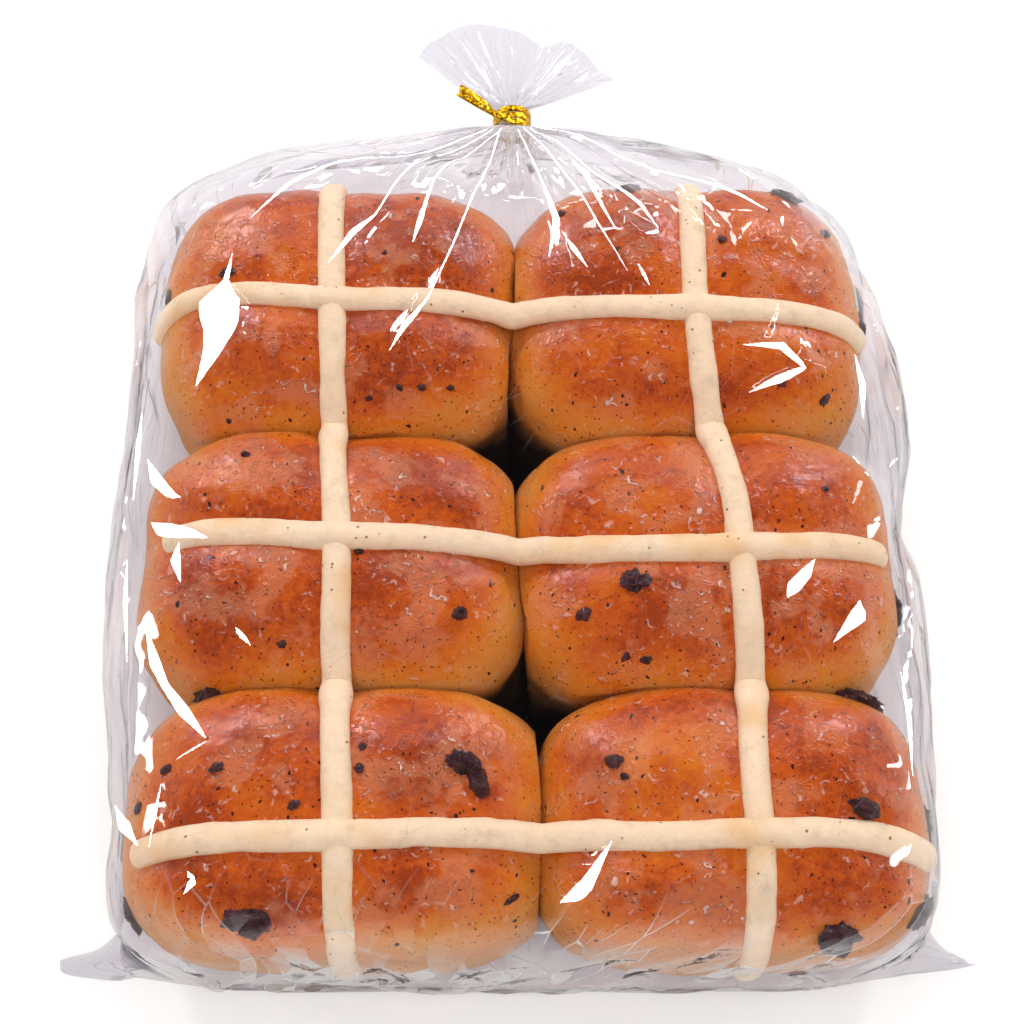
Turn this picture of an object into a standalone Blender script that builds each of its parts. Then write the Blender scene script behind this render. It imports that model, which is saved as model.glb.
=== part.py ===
"""Six hot cross buns in a clear film bag, closed with a gold twist tie.

The bag lies on its back with the crosses up. Its mouth is gathered at +Y and fans out past the tie.
Two solids: the filled bag out to its film, and the twist tie round its neck.
Metres, +Z up. The origin is on the flat underside that the bag rests on, under the middle row of buns.
"""
import math

import bpy
import numpy as np

MM = 0.001

# Driving dimensions of the filled bag, in millimetres. Lengths along the bag are Y coordinates.
FRONT_END = -88.5  # the sealed end, pressed against the first row of buns
SHOULDER_END = 125.6  # where the film turns in towards the neck
SIDE_REACH = 90.5  # half the width of the bag at half its height
LEFT_TAPER = 6.5  # how much the bag narrows towards its sealed end, on the left and on the right
RIGHT_TAPER = 2.0
TAPER_FROM, TAPER_TO = 20.0, -75.0
PLAN_ROUND_FRONT = -50.0  # the outline from above rounds off past these, towards the two ends
PLAN_ROUND_BACK = 45.0
FRONT_SQUARENESS = 4.0  # superellipse powers of those corners
LEFT_SHOULDER_SQUARENESS = 3.7
RIGHT_SHOULDER_SQUARENESS = 2.1

TOP_HEIGHT = 50.5  # film over the crosses
MIDDLE_HEIGHT = 22.0  # height at which the bag is widest
SIDE_ROUND_FRONT = -60.0  # the outline from the side rounds off past this, towards the sealed end
TOP_FRONT_SQUARENESS = 2.6
BOTTOM_FRONT_SQUARENESS = 7.0
UPPER_SQUARENESS = 3.0  # superellipse powers of the section above and below its middle
LOWER_SQUARENESS = 6.0
FLAT_CUT = 3.0  # the section would sink this far below the surface, and is cut off flat there
TENT_FROM = 88.0  # behind the last row of buns the film slopes to the neck
LIFT_FROM = 103.0  # and its underside leaves the surface

ROW_GROOVES = (-30.0, 31.5)  # the film sags a little between the rows of buns
GROOVE_DEPTH = 3.2
GROOVE_WIDTH = 10.0
EAR_FROM, EAR_TIP, EAR_END = -62.0, -82.5, -86.1  # the flattened corners of the sealed end
EAR_LENGTH = 35.0
EAR_HEIGHT = 3.5

# The neck, and the fan of loose film past the tie.
NECK_HEIGHT = 20.0
NECK_RADIUS = 4.0
NECK_SLACK = 3.0  # the film stands off the neck by this much where it arrives there
NECK_START = 126.4
NECK_END = 135.3
FAN_LENGTH = 24.5
FAN_TURN = math.radians(9.5)  # the fan leans to the right
FAN_SPREAD = math.radians(62.0)
FAN_RISE = math.radians(13.0)
FAN_GAPE = 5.5  # how far its two layers part at the rim, from the middle

FAN_RIM_SWING = 0.13  # the rim is longest at the left and shortest at the right
FAN_NOTCH = 0.12  # and has a notch between

PLEATS = 12
PLEAT_DEPTH = 0.07  # as a share of the section's radius
FAN_PLEAT_DEPTH = 1.6
POINTS_ROUND = 72

# The twist tie: a flat foil ribbon, wound round the neck, with two ends that stick out to the left.
RIBBON_WIDTH = 1.9
RIBBON_THICKNESS = 0.6
TURNS = 3
TURN_PITCH = 2.15
TIE_GAP = 0.4  # between the neck and the ribbon
TIE_START = 133.7
FIRST_TIP = (-13.6, 139.0, 24.6)
SECOND_TIP = (-13.8, 135.6, 26.4)
STEPS_PER_TURN = 24
END_STEPS = 10


def plain_material(name, colour, roughness, metallic, alpha=1.0):
    """A Principled material with plain values."""
    made = bpy.data.materials.new(name)
    made.use_nodes = True
    shader = made.node_tree.nodes["Principled BSDF"]
    shader.inputs["Base Color"].default_value = (*colour, 1.0)
    shader.inputs["Roughness"].default_value = roughness
    shader.inputs["Metallic"].default_value = metallic
    shader.inputs["Alpha"].default_value = alpha
    return made


def smooth_step(value, low, high):
    """0 below low, 1 above high, and a smooth ramp between."""
    t = np.clip((value - low) / (high - low), 0.0, 1.0)
    return t * t * (3.0 - 2.0 * t)


def rounded(distance, reach, power):
    """A superellipse quarter: 1 at distance 0, falling to 0 at reach."""
    share = np.clip(distance / reach, 0.0, 1.0)
    return (1.0 - share**power) ** (1.0 / power)


def half_width(y, taper, shoulder):
    """Outline of one side of the bag from above, from its taper and its shoulder's squareness."""
    front = rounded(PLAN_ROUND_FRONT - y, PLAN_ROUND_FRONT - FRONT_END, FRONT_SQUARENESS)
    back = rounded(y - PLAN_ROUND_BACK, SHOULDER_END - PLAN_ROUND_BACK, shoulder)
    return (SIDE_REACH - taper * smooth_step(-y, -TAPER_FROM, -TAPER_TO)) * front * back


def front_round(y, squareness):
    """How far the bag's side outline has closed towards the sealed end: 1 before it, 0 at the end."""
    return rounded(SIDE_ROUND_FRONT - y, SIDE_ROUND_FRONT - FRONT_END, squareness)


def top_of(y):
    """Height of the film's crown: rounded at the sealed end, sloping like a tent to the neck."""
    crown = MIDDLE_HEIGHT + (TOP_HEIGHT - MIDDLE_HEIGHT) * front_round(y, TOP_FRONT_SQUARENESS)
    tent = np.clip((y - TENT_FROM) / (SHOULDER_END - TENT_FROM), 0.0, 1.0) ** 1.15
    return crown + (NECK_HEIGHT + NECK_RADIUS + NECK_SLACK - crown) * tent


def underside_of(y):
    """Height of the film's lowest point: on the surface, and lifted towards both ends."""
    front = MIDDLE_HEIGHT * (1.0 - front_round(y, BOTTOM_FRONT_SQUARENESS))
    back = (NECK_HEIGHT - NECK_RADIUS - NECK_SLACK) * smooth_step(y, LIFT_FROM, SHOULDER_END)
    return front + back


def corner_ear(y):
    """How far the flattened corner of the sealed end sticks out at the surface."""
    growing = np.clip((EAR_FROM - y) / (EAR_FROM - EAR_TIP), 0.0, 1.0) ** 1.7
    return EAR_LENGTH * growing * (1.0 - smooth_step(-y, -EAR_TIP, -EAR_END))


def pleat_depth(y):
    """Share of the section's radius by which the folds that run to the neck rise and fall."""
    return PLEAT_DEPTH * smooth_step(y, 92.0, 118.0) * (1.0 - smooth_step(y, 122.0, NECK_START))


def body_ring(y):
    """One closed section of the filled bag across Y, as points (x, y, z) in millimetres.

    The section is a superellipse with a squarer lower half, cut off flat at the surface.
    """
    turn = np.arange(POINTS_ROUND) * 2.0 * math.pi / POINTS_ROUND
    c, s = np.cos(turn), np.sin(turn)
    left = half_width(y, LEFT_TAPER, LEFT_SHOULDER_SQUARENESS)
    right = half_width(y, RIGHT_TAPER, RIGHT_SHOULDER_SQUARENESS)
    reach = np.where(c > 0, right, left)
    middle = MIDDLE_HEIGHT + (NECK_HEIGHT - MIDDLE_HEIGHT) * smooth_step(y, TENT_FROM, SHOULDER_END)
    below = middle - underside_of(y) + FLAT_CUT * (1.0 - smooth_step(y, LIFT_FROM - 3.0, LIFT_FROM + 7.0))
    square = np.where(s > 0, 2.0 / UPPER_SQUARENESS, 2.0 / LOWER_SQUARENESS)
    x = reach * np.sign(c) * np.abs(c) ** square
    z = middle + np.where(s > 0, top_of(y) - middle, -below) * np.abs(s) ** square
    at_side = smooth_step(np.abs(x) / reach, 0.78, 0.9)
    fold = 1.0 + pleat_depth(y) * np.cos(PLEATS * turn)
    x, z = x * fold, middle + (z - middle) * fold
    crown = GROOVE_DEPTH * np.clip((z - middle) / (TOP_HEIGHT - middle), 0.0, 1.0) ** 2
    z -= crown * sum(np.exp(-(((y - groove) / GROOVE_WIDTH) ** 2)) for groove in ROW_GROOVES)
    z -= crown * np.exp(-((x / GROOVE_WIDTH) ** 2))
    z = np.maximum(z, 0.0)
    x += np.sign(x) * at_side * corner_ear(y) * np.exp(-z / EAR_HEIGHT)
    return np.stack([x, np.full_like(x, y), z], axis=1)


def neck_ring(y, radius):
    """A round section of the gathered neck."""
    turn = np.arange(POINTS_ROUND) * 2.0 * math.pi / POINTS_ROUND
    x, z = radius * np.cos(turn), NECK_HEIGHT + radius * np.sin(turn)
    return np.stack([x, np.full_like(x, y), z], axis=1)


def fan_ring(share):
    """A section of the loose film past the tie, at this share of the way from the neck to the rim.

    Each point runs out from the neck along its own ray. Rays turn from one side of the fan to the other
    as cos(turn) goes from -1 to 1, and the upper and the lower layer part as sin(turn) does.
    """
    turn = np.arange(POINTS_ROUND) * 2.0 * math.pi / POINTS_ROUND
    c, s = np.cos(turn), np.sin(turn)
    heading = FAN_TURN + FAN_SPREAD * c
    rim = 1.0 + FAN_RIM_SWING * np.cos(2.4 * (heading + 0.6))
    rim -= FAN_NOTCH * np.exp(-(((heading - 0.3) / 0.17) ** 2))
    along = FAN_LENGTH * share * rim
    gape = FAN_GAPE * s * share
    wave = FAN_PLEAT_DEPTH * share * np.cos(PLEATS * turn) * (1.0 - c**8)
    start = neck_ring(NECK_END, NECK_RADIUS)
    step = np.stack(
        [
            along * np.sin(heading),
            along * np.cos(heading) * math.cos(FAN_RISE),
            along * np.cos(heading) * math.sin(FAN_RISE) + gape + wave,
        ],
        axis=1,
    )
    return start + step


def bag_rings():
    """All sections of the bag, from the sealed end to the rim of the fan, closer together at its ends."""
    front = FRONT_END + 15.0 * np.linspace(0.06, 1.0, 11) ** 1.6
    middle = np.linspace(-70.0, 94.0, 22)
    back = SHOULDER_END - 29.0 * np.linspace(1.0, 0.04, 11) ** 1.5
    rings = [body_ring(y) for y in (*front, *middle, *back)]
    rings.append(neck_ring(NECK_START - 0.25, 2.2 * NECK_RADIUS))
    rings += [neck_ring(y, NECK_RADIUS) for y in np.linspace(NECK_START, NECK_END, 3)]
    rings += [fan_ring(share) for share in np.linspace(0.12, 1.0, 9)]
    return rings


def bag_mesh():
    """The loft through the bag's sections, closed by a cone of faces in front and a strip along the rim."""
    rings = bag_rings()
    n = POINTS_ROUND
    points = np.concatenate([*rings, [rings[0].mean(axis=0) + (0.0, -0.15, 0.0)]])
    following = np.roll(np.arange(n), -1)
    faces = [
        (j * n + i, (j + 1) * n + i, (j + 1) * n + following[i], j * n + following[i])
        for j in range(len(rings) - 1)
        for i in range(n)
    ]
    tip = len(points) - 1
    faces += [(i, following[i], tip) for i in range(n)]
    last = (len(rings) - 1) * n
    half = n // 2
    faces += [(last + i + 1, last + i, last + (n - i) % n, last + n - i - 1) for i in range(1, half - 1)]
    faces += [(last + 1, last, last + n - 1), (last + half, last + half - 1, last + half + 1)]
    mesh = bpy.data.meshes.new("bag")
    mesh.from_pydata((points * MM).tolist(), [], [tuple(int(k) for k in face) for face in faces])
    mesh.update()
    return mesh


def turn_points():
    """Centre line of the ribbon's turns round the neck, from its left side to its top."""
    sweep = (TURNS - 0.25) * 2.0 * math.pi
    turned = np.linspace(0.0, sweep, int(STEPS_PER_TURN * (TURNS - 0.25)) + 1)
    radius = NECK_RADIUS + TIE_GAP + RIBBON_THICKNESS / 2.0
    return np.stack(
        [
            -radius * np.cos(turned),
            TIE_START - TURN_PITCH * turned / (2.0 * math.pi),
            NECK_HEIGHT - radius * np.sin(turned),
        ],
        axis=1,
    )


def bend(start, leaving, end, arriving):
    """A cubic from start, leaving along one direction, to end, arriving along another."""
    t = np.linspace(0.0, 1.0, END_STEPS)[:, None]
    return (
        (2 * t**3 - 3 * t**2 + 1) * np.array(start)
        + (t**3 - 2 * t**2 + t) * np.array(leaving)
        + (3 * t**2 - 2 * t**3) * np.array(end)
        + (t**3 - t**2) * np.array(arriving)
    )


def ribbon_points():
    """The whole ribbon: first end, the turns, and the second end, which crosses over the turns."""
    turns = turn_points()
    first = bend(FIRST_TIP, (6.0, -2.0, -1.0), turns[0], (0.0, 0.0, -7.0))
    second = bend(turns[-1], (-11.0, 0.5, 4.5), SECOND_TIP, (-6.0, 4.5, 0.0))
    return np.concatenate([first[:-1], turns, second[1:]])


def make_tie(material, collection, parent):
    """The ribbon: a flat curve whose width runs along its own Z, turned so that this points along Y."""
    points = ribbon_points()
    curve = bpy.data.curves.new("twist_tie", "CURVE")
    curve.dimensions = "3D"
    curve.twist_mode = "Z_UP"
    curve.bevel_depth = RIBBON_THICKNESS / 2.0 * MM
    curve.extrude = (RIBBON_WIDTH - RIBBON_THICKNESS) / 2.0 * MM
    curve.bevel_resolution = 1
    curve.use_fill_caps = True
    curve.materials.append(material)
    spline = curve.splines.new("POLY")
    spline.points.add(len(points) - 1)
    for spot, (x, y, z) in zip(spline.points, points * MM):
        spot.co = (x, -z, y, 1.0)
    tie = bpy.data.objects.new("twist_tie", curve)
    tie.rotation_euler.x = -math.pi / 2.0
    collection.objects.link(tie)
    tie.parent = parent


def make_bag(material, collection, parent):
    """The filled bag, shaded smooth except along its sharp folds."""
    mesh = bag_mesh()
    mesh.materials.append(material)
    mesh.shade_smooth()
    mesh.set_sharp_from_angle(angle=math.radians(50.0))
    bag = bpy.data.objects.new("bag", mesh)
    collection.objects.link(bag)
    bag.parent = parent


def build():
    """Clears the scene and makes the two pieces under one empty at the origin."""
    for obj in list(bpy.data.objects):
        bpy.data.objects.remove(obj)
    collection = bpy.data.collections.new("bagged_hot_cross_buns")
    bpy.context.scene.collection.children.link(collection)
    underside = bpy.data.objects.new("underside", None)
    collection.objects.link(underside)
    film = plain_material("clear_film", (0.86, 0.66, 0.45), 0.12, 0.0, alpha=0.55)
    foil = plain_material("gold_foil", (0.83, 0.60, 0.09), 0.22, 1.0)
    make_bag(film, collection, underside)
    make_tie(foil, collection, underside)


build()
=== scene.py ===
# %% [markdown]
# # A tied film bag of six hot cross buns
#
# Six spiced buns were proved so close together that they baked into one slab, two across and three deep.
# A baker pipes the crosses on as long lines of flour paste over the whole tray, so each line runs on from
# bun to bun. The slab lies in a clear film bag whose mouth is gathered and closed with a gold twist tie.
#
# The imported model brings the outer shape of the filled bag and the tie. This lesson replaces the solid bag
# with what is really there: buns, crosses, raisins and thin film.

# %% Load the frame
import math
from collections import namedtuple

import bpy
import numpy as np
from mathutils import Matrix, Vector, geometry


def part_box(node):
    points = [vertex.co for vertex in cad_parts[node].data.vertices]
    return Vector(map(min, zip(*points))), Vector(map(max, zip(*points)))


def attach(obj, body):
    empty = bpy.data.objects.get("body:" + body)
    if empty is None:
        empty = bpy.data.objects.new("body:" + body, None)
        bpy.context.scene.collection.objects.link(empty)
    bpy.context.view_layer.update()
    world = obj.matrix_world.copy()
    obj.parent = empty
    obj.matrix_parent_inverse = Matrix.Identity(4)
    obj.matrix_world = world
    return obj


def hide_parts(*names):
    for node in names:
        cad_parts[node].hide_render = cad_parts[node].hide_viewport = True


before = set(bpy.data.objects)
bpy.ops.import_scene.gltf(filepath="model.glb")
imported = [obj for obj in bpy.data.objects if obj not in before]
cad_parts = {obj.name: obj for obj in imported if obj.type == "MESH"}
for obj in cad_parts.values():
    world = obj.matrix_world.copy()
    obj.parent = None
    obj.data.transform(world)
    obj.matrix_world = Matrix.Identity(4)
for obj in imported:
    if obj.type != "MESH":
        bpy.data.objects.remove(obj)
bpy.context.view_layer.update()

MM = 0.001
BAG_LOW, BAG_HIGH = (np.array(corner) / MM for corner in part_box("bag"))
TIE_LOW, TIE_HIGH = (np.array(corner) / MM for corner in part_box("twist_tie"))
print("bag in millimetres:", BAG_LOW.round(1), "to", BAG_HIGH.round(1))

# %% [markdown]
# ## Small tools
#
# Every piece here is a grid of points: rings of equal length, one after another, like the hoops of a barrel.
# One function turns such a grid into a closed mesh. It joins neighbouring rings with four-sided faces and
# closes each end with a fan, so that no piece has a hole. The alternative, adding faces one by one with
# bmesh, is slower and says less about the shape.

# %% Grids of points to meshes


def grid_faces(rows, columns):
    """Faces between neighbouring rings of a grid whose columns run all the way round."""
    here = np.arange(rows * columns).reshape(rows, columns)
    beside = np.roll(here, -1, axis=1)
    return np.stack([here[:-1], beside[:-1], beside[1:], here[1:]], axis=-1).reshape(-1, 4)


def closed_faces(rows, columns):
    """Faces of a closed skin: its rings joined, and a fan at each end to the two poles after them."""
    around = np.arange(columns)
    beside = np.roll(around, -1)
    last = (rows - 1) * columns
    start_pole = np.full(columns, rows * columns)
    first_cap = np.stack([beside, around, start_pole], axis=1)
    last_cap = np.stack([last + around, last + beside, start_pole + 1], axis=1)
    return grid_faces(rows, columns).tolist() + first_cap.tolist() + last_cap.tolist()


def with_poles(rings):
    """The points of all rings, then the middle of the first ring and of the last."""
    return np.concatenate([rings.reshape(-1, 3), rings[[0, -1]].mean(axis=1)])


def mesh_piece(name, points, faces, material):
    """A smooth object in the scene, from points in millimetres."""
    mesh = bpy.data.meshes.new(name)
    mesh.from_pydata((points * MM).tolist(), [], faces)
    mesh.polygons.foreach_set("use_smooth", np.ones(len(faces), bool))
    mesh.materials.append(material)
    mesh.update()
    piece = bpy.data.objects.new(name, mesh)
    bpy.context.scene.collection.objects.link(piece)
    return piece


def skin(name, rings, material):
    """A closed object in millimetre rings of shape (rings, points, 3), with a pole at each end.

    Seen from the last ring back to the first, each ring runs anticlockwise. Then its faces point outwards.
    """
    return mesh_piece(name, with_poles(rings), closed_faces(*rings.shape[:2]), material)


def paint(piece, name, values):
    """Stores one number for each point of a skin's rings as an attribute. A pole gets its ring's mean."""
    values = values.reshape(values.shape[0], -1)
    whole = np.concatenate([values.ravel(), [values[0].mean(), values[-1].mean()]])
    layer = piece.data.attributes.new(name, "FLOAT", "POINT")
    layer.data.foreach_set("value", whole.astype(np.float32))


# %% [markdown]
# Dough, fruit and film are never even. Their unevenness comes from value noise: a random number on each
# corner of a lattice of cells, blended smoothly in between. The cell size in millimetres is the size of the
# bumps it gives. The random numbers are hashed from the cell's own indices, so each run gives the same shape.

# %% Noise in millimetres


def dice(seed, *cells):
    """A repeatable random number from -1 to 1 for each whole-number cell."""
    mixed = np.full(np.shape(cells[0]), seed * 7919 + 17, np.uint32)
    for cell in cells:
        mixed = (mixed ^ cell.astype(np.int64).astype(np.uint32)) * np.uint32(0x9E3779B1)
        mixed ^= mixed >> np.uint32(15)
        mixed *= np.uint32(0x85EBCA77)
        mixed ^= mixed >> np.uint32(13)
    return mixed.astype(np.float64) / 2.0**31 - 1.0


def lumps(points, size, seed):
    """Smooth value noise from -1 to 1, with bumps of this size, at points of shape (..., 3)."""
    scaled = np.asarray(points, float) / size
    cell = np.floor(scaled)
    part = scaled - cell
    part = part * part * part * (part * (part * 6.0 - 15.0) + 10.0)
    total = np.zeros(scaled.shape[:-1])
    for corner in np.ndindex(2, 2, 2):
        weight = np.prod(np.where(np.array(corner) == 1, part, 1.0 - part), axis=-1)
        total += weight * dice(seed, *np.moveaxis(cell + corner, -1, 0))
    return total


def ramp(value, low, high):
    """0 before low, 1 past high, and a smooth step between. low may be above high."""
    t = np.clip((value - low) / (high - low), 0.0, 1.0)
    return t * t * (3.0 - 2.0 * t)


def superellipse(angle, power):
    """How far a superellipse of half-size 1 reaches at an angle: (|cos|^n + |sin|^n)^(-1/n)."""
    return (np.abs(np.cos(angle)) ** power + np.abs(np.sin(angle)) ** power) ** (-1.0 / power)


# %% [markdown]
# ## Materials
#
# A material is a small tree of nodes. One function adds a node with its settings and its links, and another
# turns a colour as a maker would note it, in hex, into the linear numbers that Blender works in.

# %% Node and colour helpers


def srgb(code):
    """A hex colour as linear red, green, blue and an alpha of 1."""
    channels = [int(code[i : i + 2], 16) / 255.0 for i in (1, 3, 5)]
    linear = [c / 12.92 if c <= 0.04045 else ((c + 0.055) / 1.055) ** 2.4 for c in channels]
    return (*linear, 1.0)


def add(tree, kind, inputs=None, **settings):
    """Adds a node. An input that is a socket is linked, and any other value is set on the node's socket."""
    made = tree.nodes.new(kind)
    for key, value in settings.items():
        setattr(made, key, value)
    for key, value in (inputs or {}).items():
        if isinstance(value, bpy.types.NodeSocket):
            tree.links.new(value, made.inputs[key])
        else:
            made.inputs[key].default_value = value
    return made


def blank_material(name):
    """A material with an empty tree, and its output node."""
    made = bpy.data.materials.new(name)
    made.use_nodes = True
    made.node_tree.nodes.clear()
    return made, made.node_tree, add(made.node_tree, "ShaderNodeOutputMaterial")


def colour_ramp(tree, factor, stops):
    """A colour ramp through (position, hex colour) stops."""
    made = add(tree, "ShaderNodeValToRGB", {"Fac": factor})
    elements = made.color_ramp.elements
    while len(elements) < len(stops):
        elements.new(0.5)
    for element, (position, code) in zip(elements, stops):
        element.position = position
        element.color = srgb(code)
    return made.outputs["Color"]


def grey_ramp(tree, factor, low, high):
    """A number that goes from 0 at low to 1 at high, smoothly."""
    span = {"Value": factor, "From Min": low, "From Max": high}
    made = add(tree, "ShaderNodeMapRange", span, interpolation_type="SMOOTHSTEP")
    return made.outputs["Result"]


def calc(tree, operation, *values, clamp=False):
    """The result of a Math node on two or three values."""
    inputs = dict(enumerate(values))
    return add(tree, "ShaderNodeMath", inputs, operation=operation, use_clamp=clamp).outputs["Value"]


def noise(tree, where, scale, detail, roughness=0.5, distortion=0.0):
    """The value of a noise texture whose lattice has this many cells in a metre."""
    inputs = {"Vector": where, "Scale": scale, "Detail": detail}
    inputs |= {"Roughness": roughness, "Distortion": distortion}
    return add(tree, "ShaderNodeTexNoise", inputs).outputs["Fac"]


def blend(tree, factor, first, second):
    """The first colour at factor 0, the second at 1."""
    inputs = {"Factor": factor, 6: first, 7: second}
    return add(tree, "ShaderNodeMix", inputs, data_type="RGBA").outputs[2]


def bumped(tree, height, depth_mm, strength):
    """The normal of a surface with relief. A height of 1 stands depth_mm high."""
    inputs = {"Height": height, "Strength": strength, "Distance": depth_mm * MM}
    return add(tree, "ShaderNodeBump", inputs).outputs["Normal"]


def mark_of(tree, name):
    """The number that a mesh carries under this name."""
    return add(tree, "ShaderNodeAttribute", attribute_name=name).outputs["Fac"]


def finish_with(tree, output, inputs):
    """Ends a tree with one Principled shader that has these inputs."""
    shader = add(tree, "ShaderNodeBsdfPrincipled", inputs)
    tree.links.new(shader.outputs[0], output.inputs["Surface"])


# %% [markdown]
# ### Glazed crust
#
# An egg wash and a sugar glaze give a bun its shine: brown, oven-hard crust under a thin clear coat. The
# sides of a bun never see the oven's top heat, so they stay pale and matt. Each bun carries an attribute
# named `bake`, from 0 on those sides to 1 on the crown, and the colours, the coat and the wrinkles follow it.
# A second attribute is 1 far down where four buns meet and turns the crust there almost black: painted shade,
# for the dark of those holes.
# Mixed spice shows as dark specks about half a millimetre across, a few of them larger.
#
# The glaze dries into a crackle of fine wrinkles, each about a millimetre wide, strongest in patches about
# a centimetre wide. The patches are painted a pale pink, a painted sheen of the glaze, and the wrinkles' ridges
# are painted near white, painted glints. The wrinkles themselves are drawn as bump, because as mesh they
# would need a million points on each bun.

# %% Crust material


def specks(tree, where, cell_mm, radius_mm, share, stretch=1.0):
    """Dots in this share of the cells of a Voronoi lattice: 1 inside a dot, 0 outside."""
    stretched = add(tree, "ShaderNodeMapping", {"Vector": where, "Scale": (1.0, stretch, 1.0)})
    cells = add(
        tree, "ShaderNodeTexVoronoi", {"Vector": stretched.outputs["Vector"], "Scale": 1.0 / (cell_mm * MM)}
    )
    edge = radius_mm / cell_mm
    inside = grey_ramp(tree, cells.outputs["Distance"], edge, edge * 0.7)
    chance = add(tree, "ShaderNodeSeparateColor", {"Color": cells.outputs["Color"]}).outputs["Red"]
    chosen = calc(tree, "LESS_THAN", chance, share)
    return calc(tree, "MULTIPLY", inside, chosen)


def make_crust():
    """Orange-brown glazed crust: bread (IOR 1.4, rough 0.55) under a sugar coat (IOR 1.5, rough 0.09).

    The coat gives small hard glints, and the bread under it a soft sheen that is kept low.
    """
    material, tree, output = blank_material("glazed_bread_crust")
    where = add(tree, "ShaderNodeTexCoord").outputs["Object"]
    bake = mark_of(tree, "bake")
    wobble = add(tree, "ShaderNodeTexNoise", {"Vector": where, "Scale": 600.0, "Detail": 2.0})
    nudge = add(
        tree, "ShaderNodeVectorMath", {0: wobble.outputs["Color"], 1: (0.5, 0.5, 0.5)}, operation="SUBTRACT"
    ).outputs["Vector"]
    nudge = add(tree, "ShaderNodeVectorMath", {0: nudge, "Scale": 1.6 * MM}, operation="SCALE")
    bent = add(
        tree, "ShaderNodeVectorMath", {0: where, 1: nudge.outputs["Vector"]}, operation="ADD"
    ).outputs["Vector"]

    blotch = noise(tree, where, 70.0, 4.0, roughness=0.6)
    mottle = noise(tree, bent, 520.0, 5.0, roughness=0.75)
    shade = calc(tree, "MULTIPLY_ADD", blotch, 0.6, bake)
    shade = calc(tree, "MULTIPLY_ADD", mottle, 0.8, shade)
    shade = calc(tree, "SUBTRACT", shade, 0.74)
    bread = colour_ramp(tree, shade, CRUST_COLOURS)

    patch = noise(tree, where, 85.0, 3.0, roughness=0.6)
    crackled = grey_ramp(tree, patch, 0.5, 0.6)
    # Painted sheen: the crackled patches are blended towards pale pink, as glare on the glaze.
    painted_sheen = calc(tree, "MULTIPLY", crackled, 0.4)
    painted_sheen = calc(tree, "MULTIPLY", painted_sheen, bake)
    bread = blend(tree, painted_sheen, bread, srgb("#e09268"))
    crackled = calc(tree, "MULTIPLY_ADD", crackled, 0.6, 0.4)
    crackled = calc(tree, "MULTIPLY", crackled, bake)
    folds = add(
        tree,
        "ShaderNodeTexNoise",
        {
            "Vector": bent,
            "Scale": 480.0,
            "Detail": 3.0,
            "Roughness": 0.6,
            "Lacunarity": 2.2,
            "Distortion": 1.2,
        },
        noise_type="RIDGED_MULTIFRACTAL",
        normalize=True,
    ).outputs["Fac"]
    # Painted glints: the ridges of the wrinkles in the patches are blended towards near white.
    ridges = grey_ramp(tree, folds, 0.22, 0.5)
    ridges = calc(tree, "MULTIPLY", ridges, crackled)
    painted_glints = calc(tree, "MULTIPLY", ridges, 0.95)
    glinted_crust = blend(tree, painted_glints, bread, srgb("#fbdcca"))

    fine = specks(tree, bent, 1.3, 0.29, 0.6)
    middling = specks(tree, bent, 2.8, 0.42, 0.4, stretch=0.8)
    flecks = specks(tree, bent, 6.0, 0.65, 0.3, stretch=0.6)
    spice = calc(tree, "MULTIPLY", fine, 0.8)
    spice = calc(tree, "MAXIMUM", spice, middling)
    spice = calc(tree, "MAXIMUM", spice, flecks)
    spiced = blend(tree, spice, glinted_crust, srgb("#2c0f0a"))

    # Painted shade: far down where four buns meet, the crust is blended towards near black.
    painted_hole_shade = mark_of(tree, "painted_hole_shade")
    shaded = blend(tree, painted_hole_shade, spiced, srgb("#140604"))

    pores = noise(tree, where, 1500.0, 3.0, roughness=0.7)
    wrinkles = calc(tree, "MULTIPLY", folds, crackled)
    relief = calc(tree, "MULTIPLY_ADD", pores, 0.04, wrinkles)
    relief = calc(tree, "MULTIPLY_ADD", mottle, 0.12, relief)
    bump = bumped(tree, relief, 1.1, 1.0)
    glaze = grey_ramp(tree, bake, 0.1, 0.55)
    finish_with(tree, output, {
            "Base Color": shaded,
            "Roughness": 0.55,
            "IOR": 1.4,
            "Specular IOR Level": 0.2,
            "Normal": bump,
            "Coat Weight": glaze,
            "Coat Roughness": 0.09,
            "Coat IOR": 1.5,
            "Coat Normal": bump,
        })
    return material


# From pale side to dark crown.
CRUST_COLOURS = [
    (0.0, "#d89c68"),
    (0.2, "#d99242"),
    (0.38, "#dd862c"),
    (0.55, "#dc7616"),
    (0.72, "#d3620a"),
    (0.86, "#c45006"),
    (1.0, "#a03a04"),
]
crust = make_crust()

# %% [markdown]
# ### Flour paste
#
# The crosses are flour and water, piped on and baked. They stay the colour of pastry, matt and a little
# floury, with faint grey patches where the crumb shows through.

# %% Flour paste material


def make_flour_paste():
    """Baked flour paste: matt, IOR 1.4, rough 0.6, cream with faint mottling about 3 mm across."""
    material, tree, output = blank_material("baked_flour_paste")
    where = add(tree, "ShaderNodeTexCoord").outputs["Object"]
    mottle = noise(tree, where, 260.0, 6.0, roughness=0.7)
    creams = [(0.3, "#e9cda6"), (0.45, "#f8dfbb"), (0.6, "#ffe4bd"), (0.75, "#ffeccf")]
    cream = colour_ramp(tree, mottle, creams)
    toast = noise(tree, where, 60.0, 2.0)
    toasted = grey_ramp(tree, toast, 0.5, 0.8)
    tint = blend(tree, toasted, cream, srgb("#f2c68c"))
    dust = specks(tree, where, 2.4, 0.36, 0.3)
    dusted = blend(tree, dust, tint, srgb("#9a7048"))
    grain = noise(tree, where, 900.0, 4.0)
    bump = bumped(tree, grain, 0.4, 0.5)
    finish_with(tree, output, {"Base Color": dusted, "Roughness": 0.6, "IOR": 1.4, "Normal": bump})
    return material


flour_paste = make_flour_paste()

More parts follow.
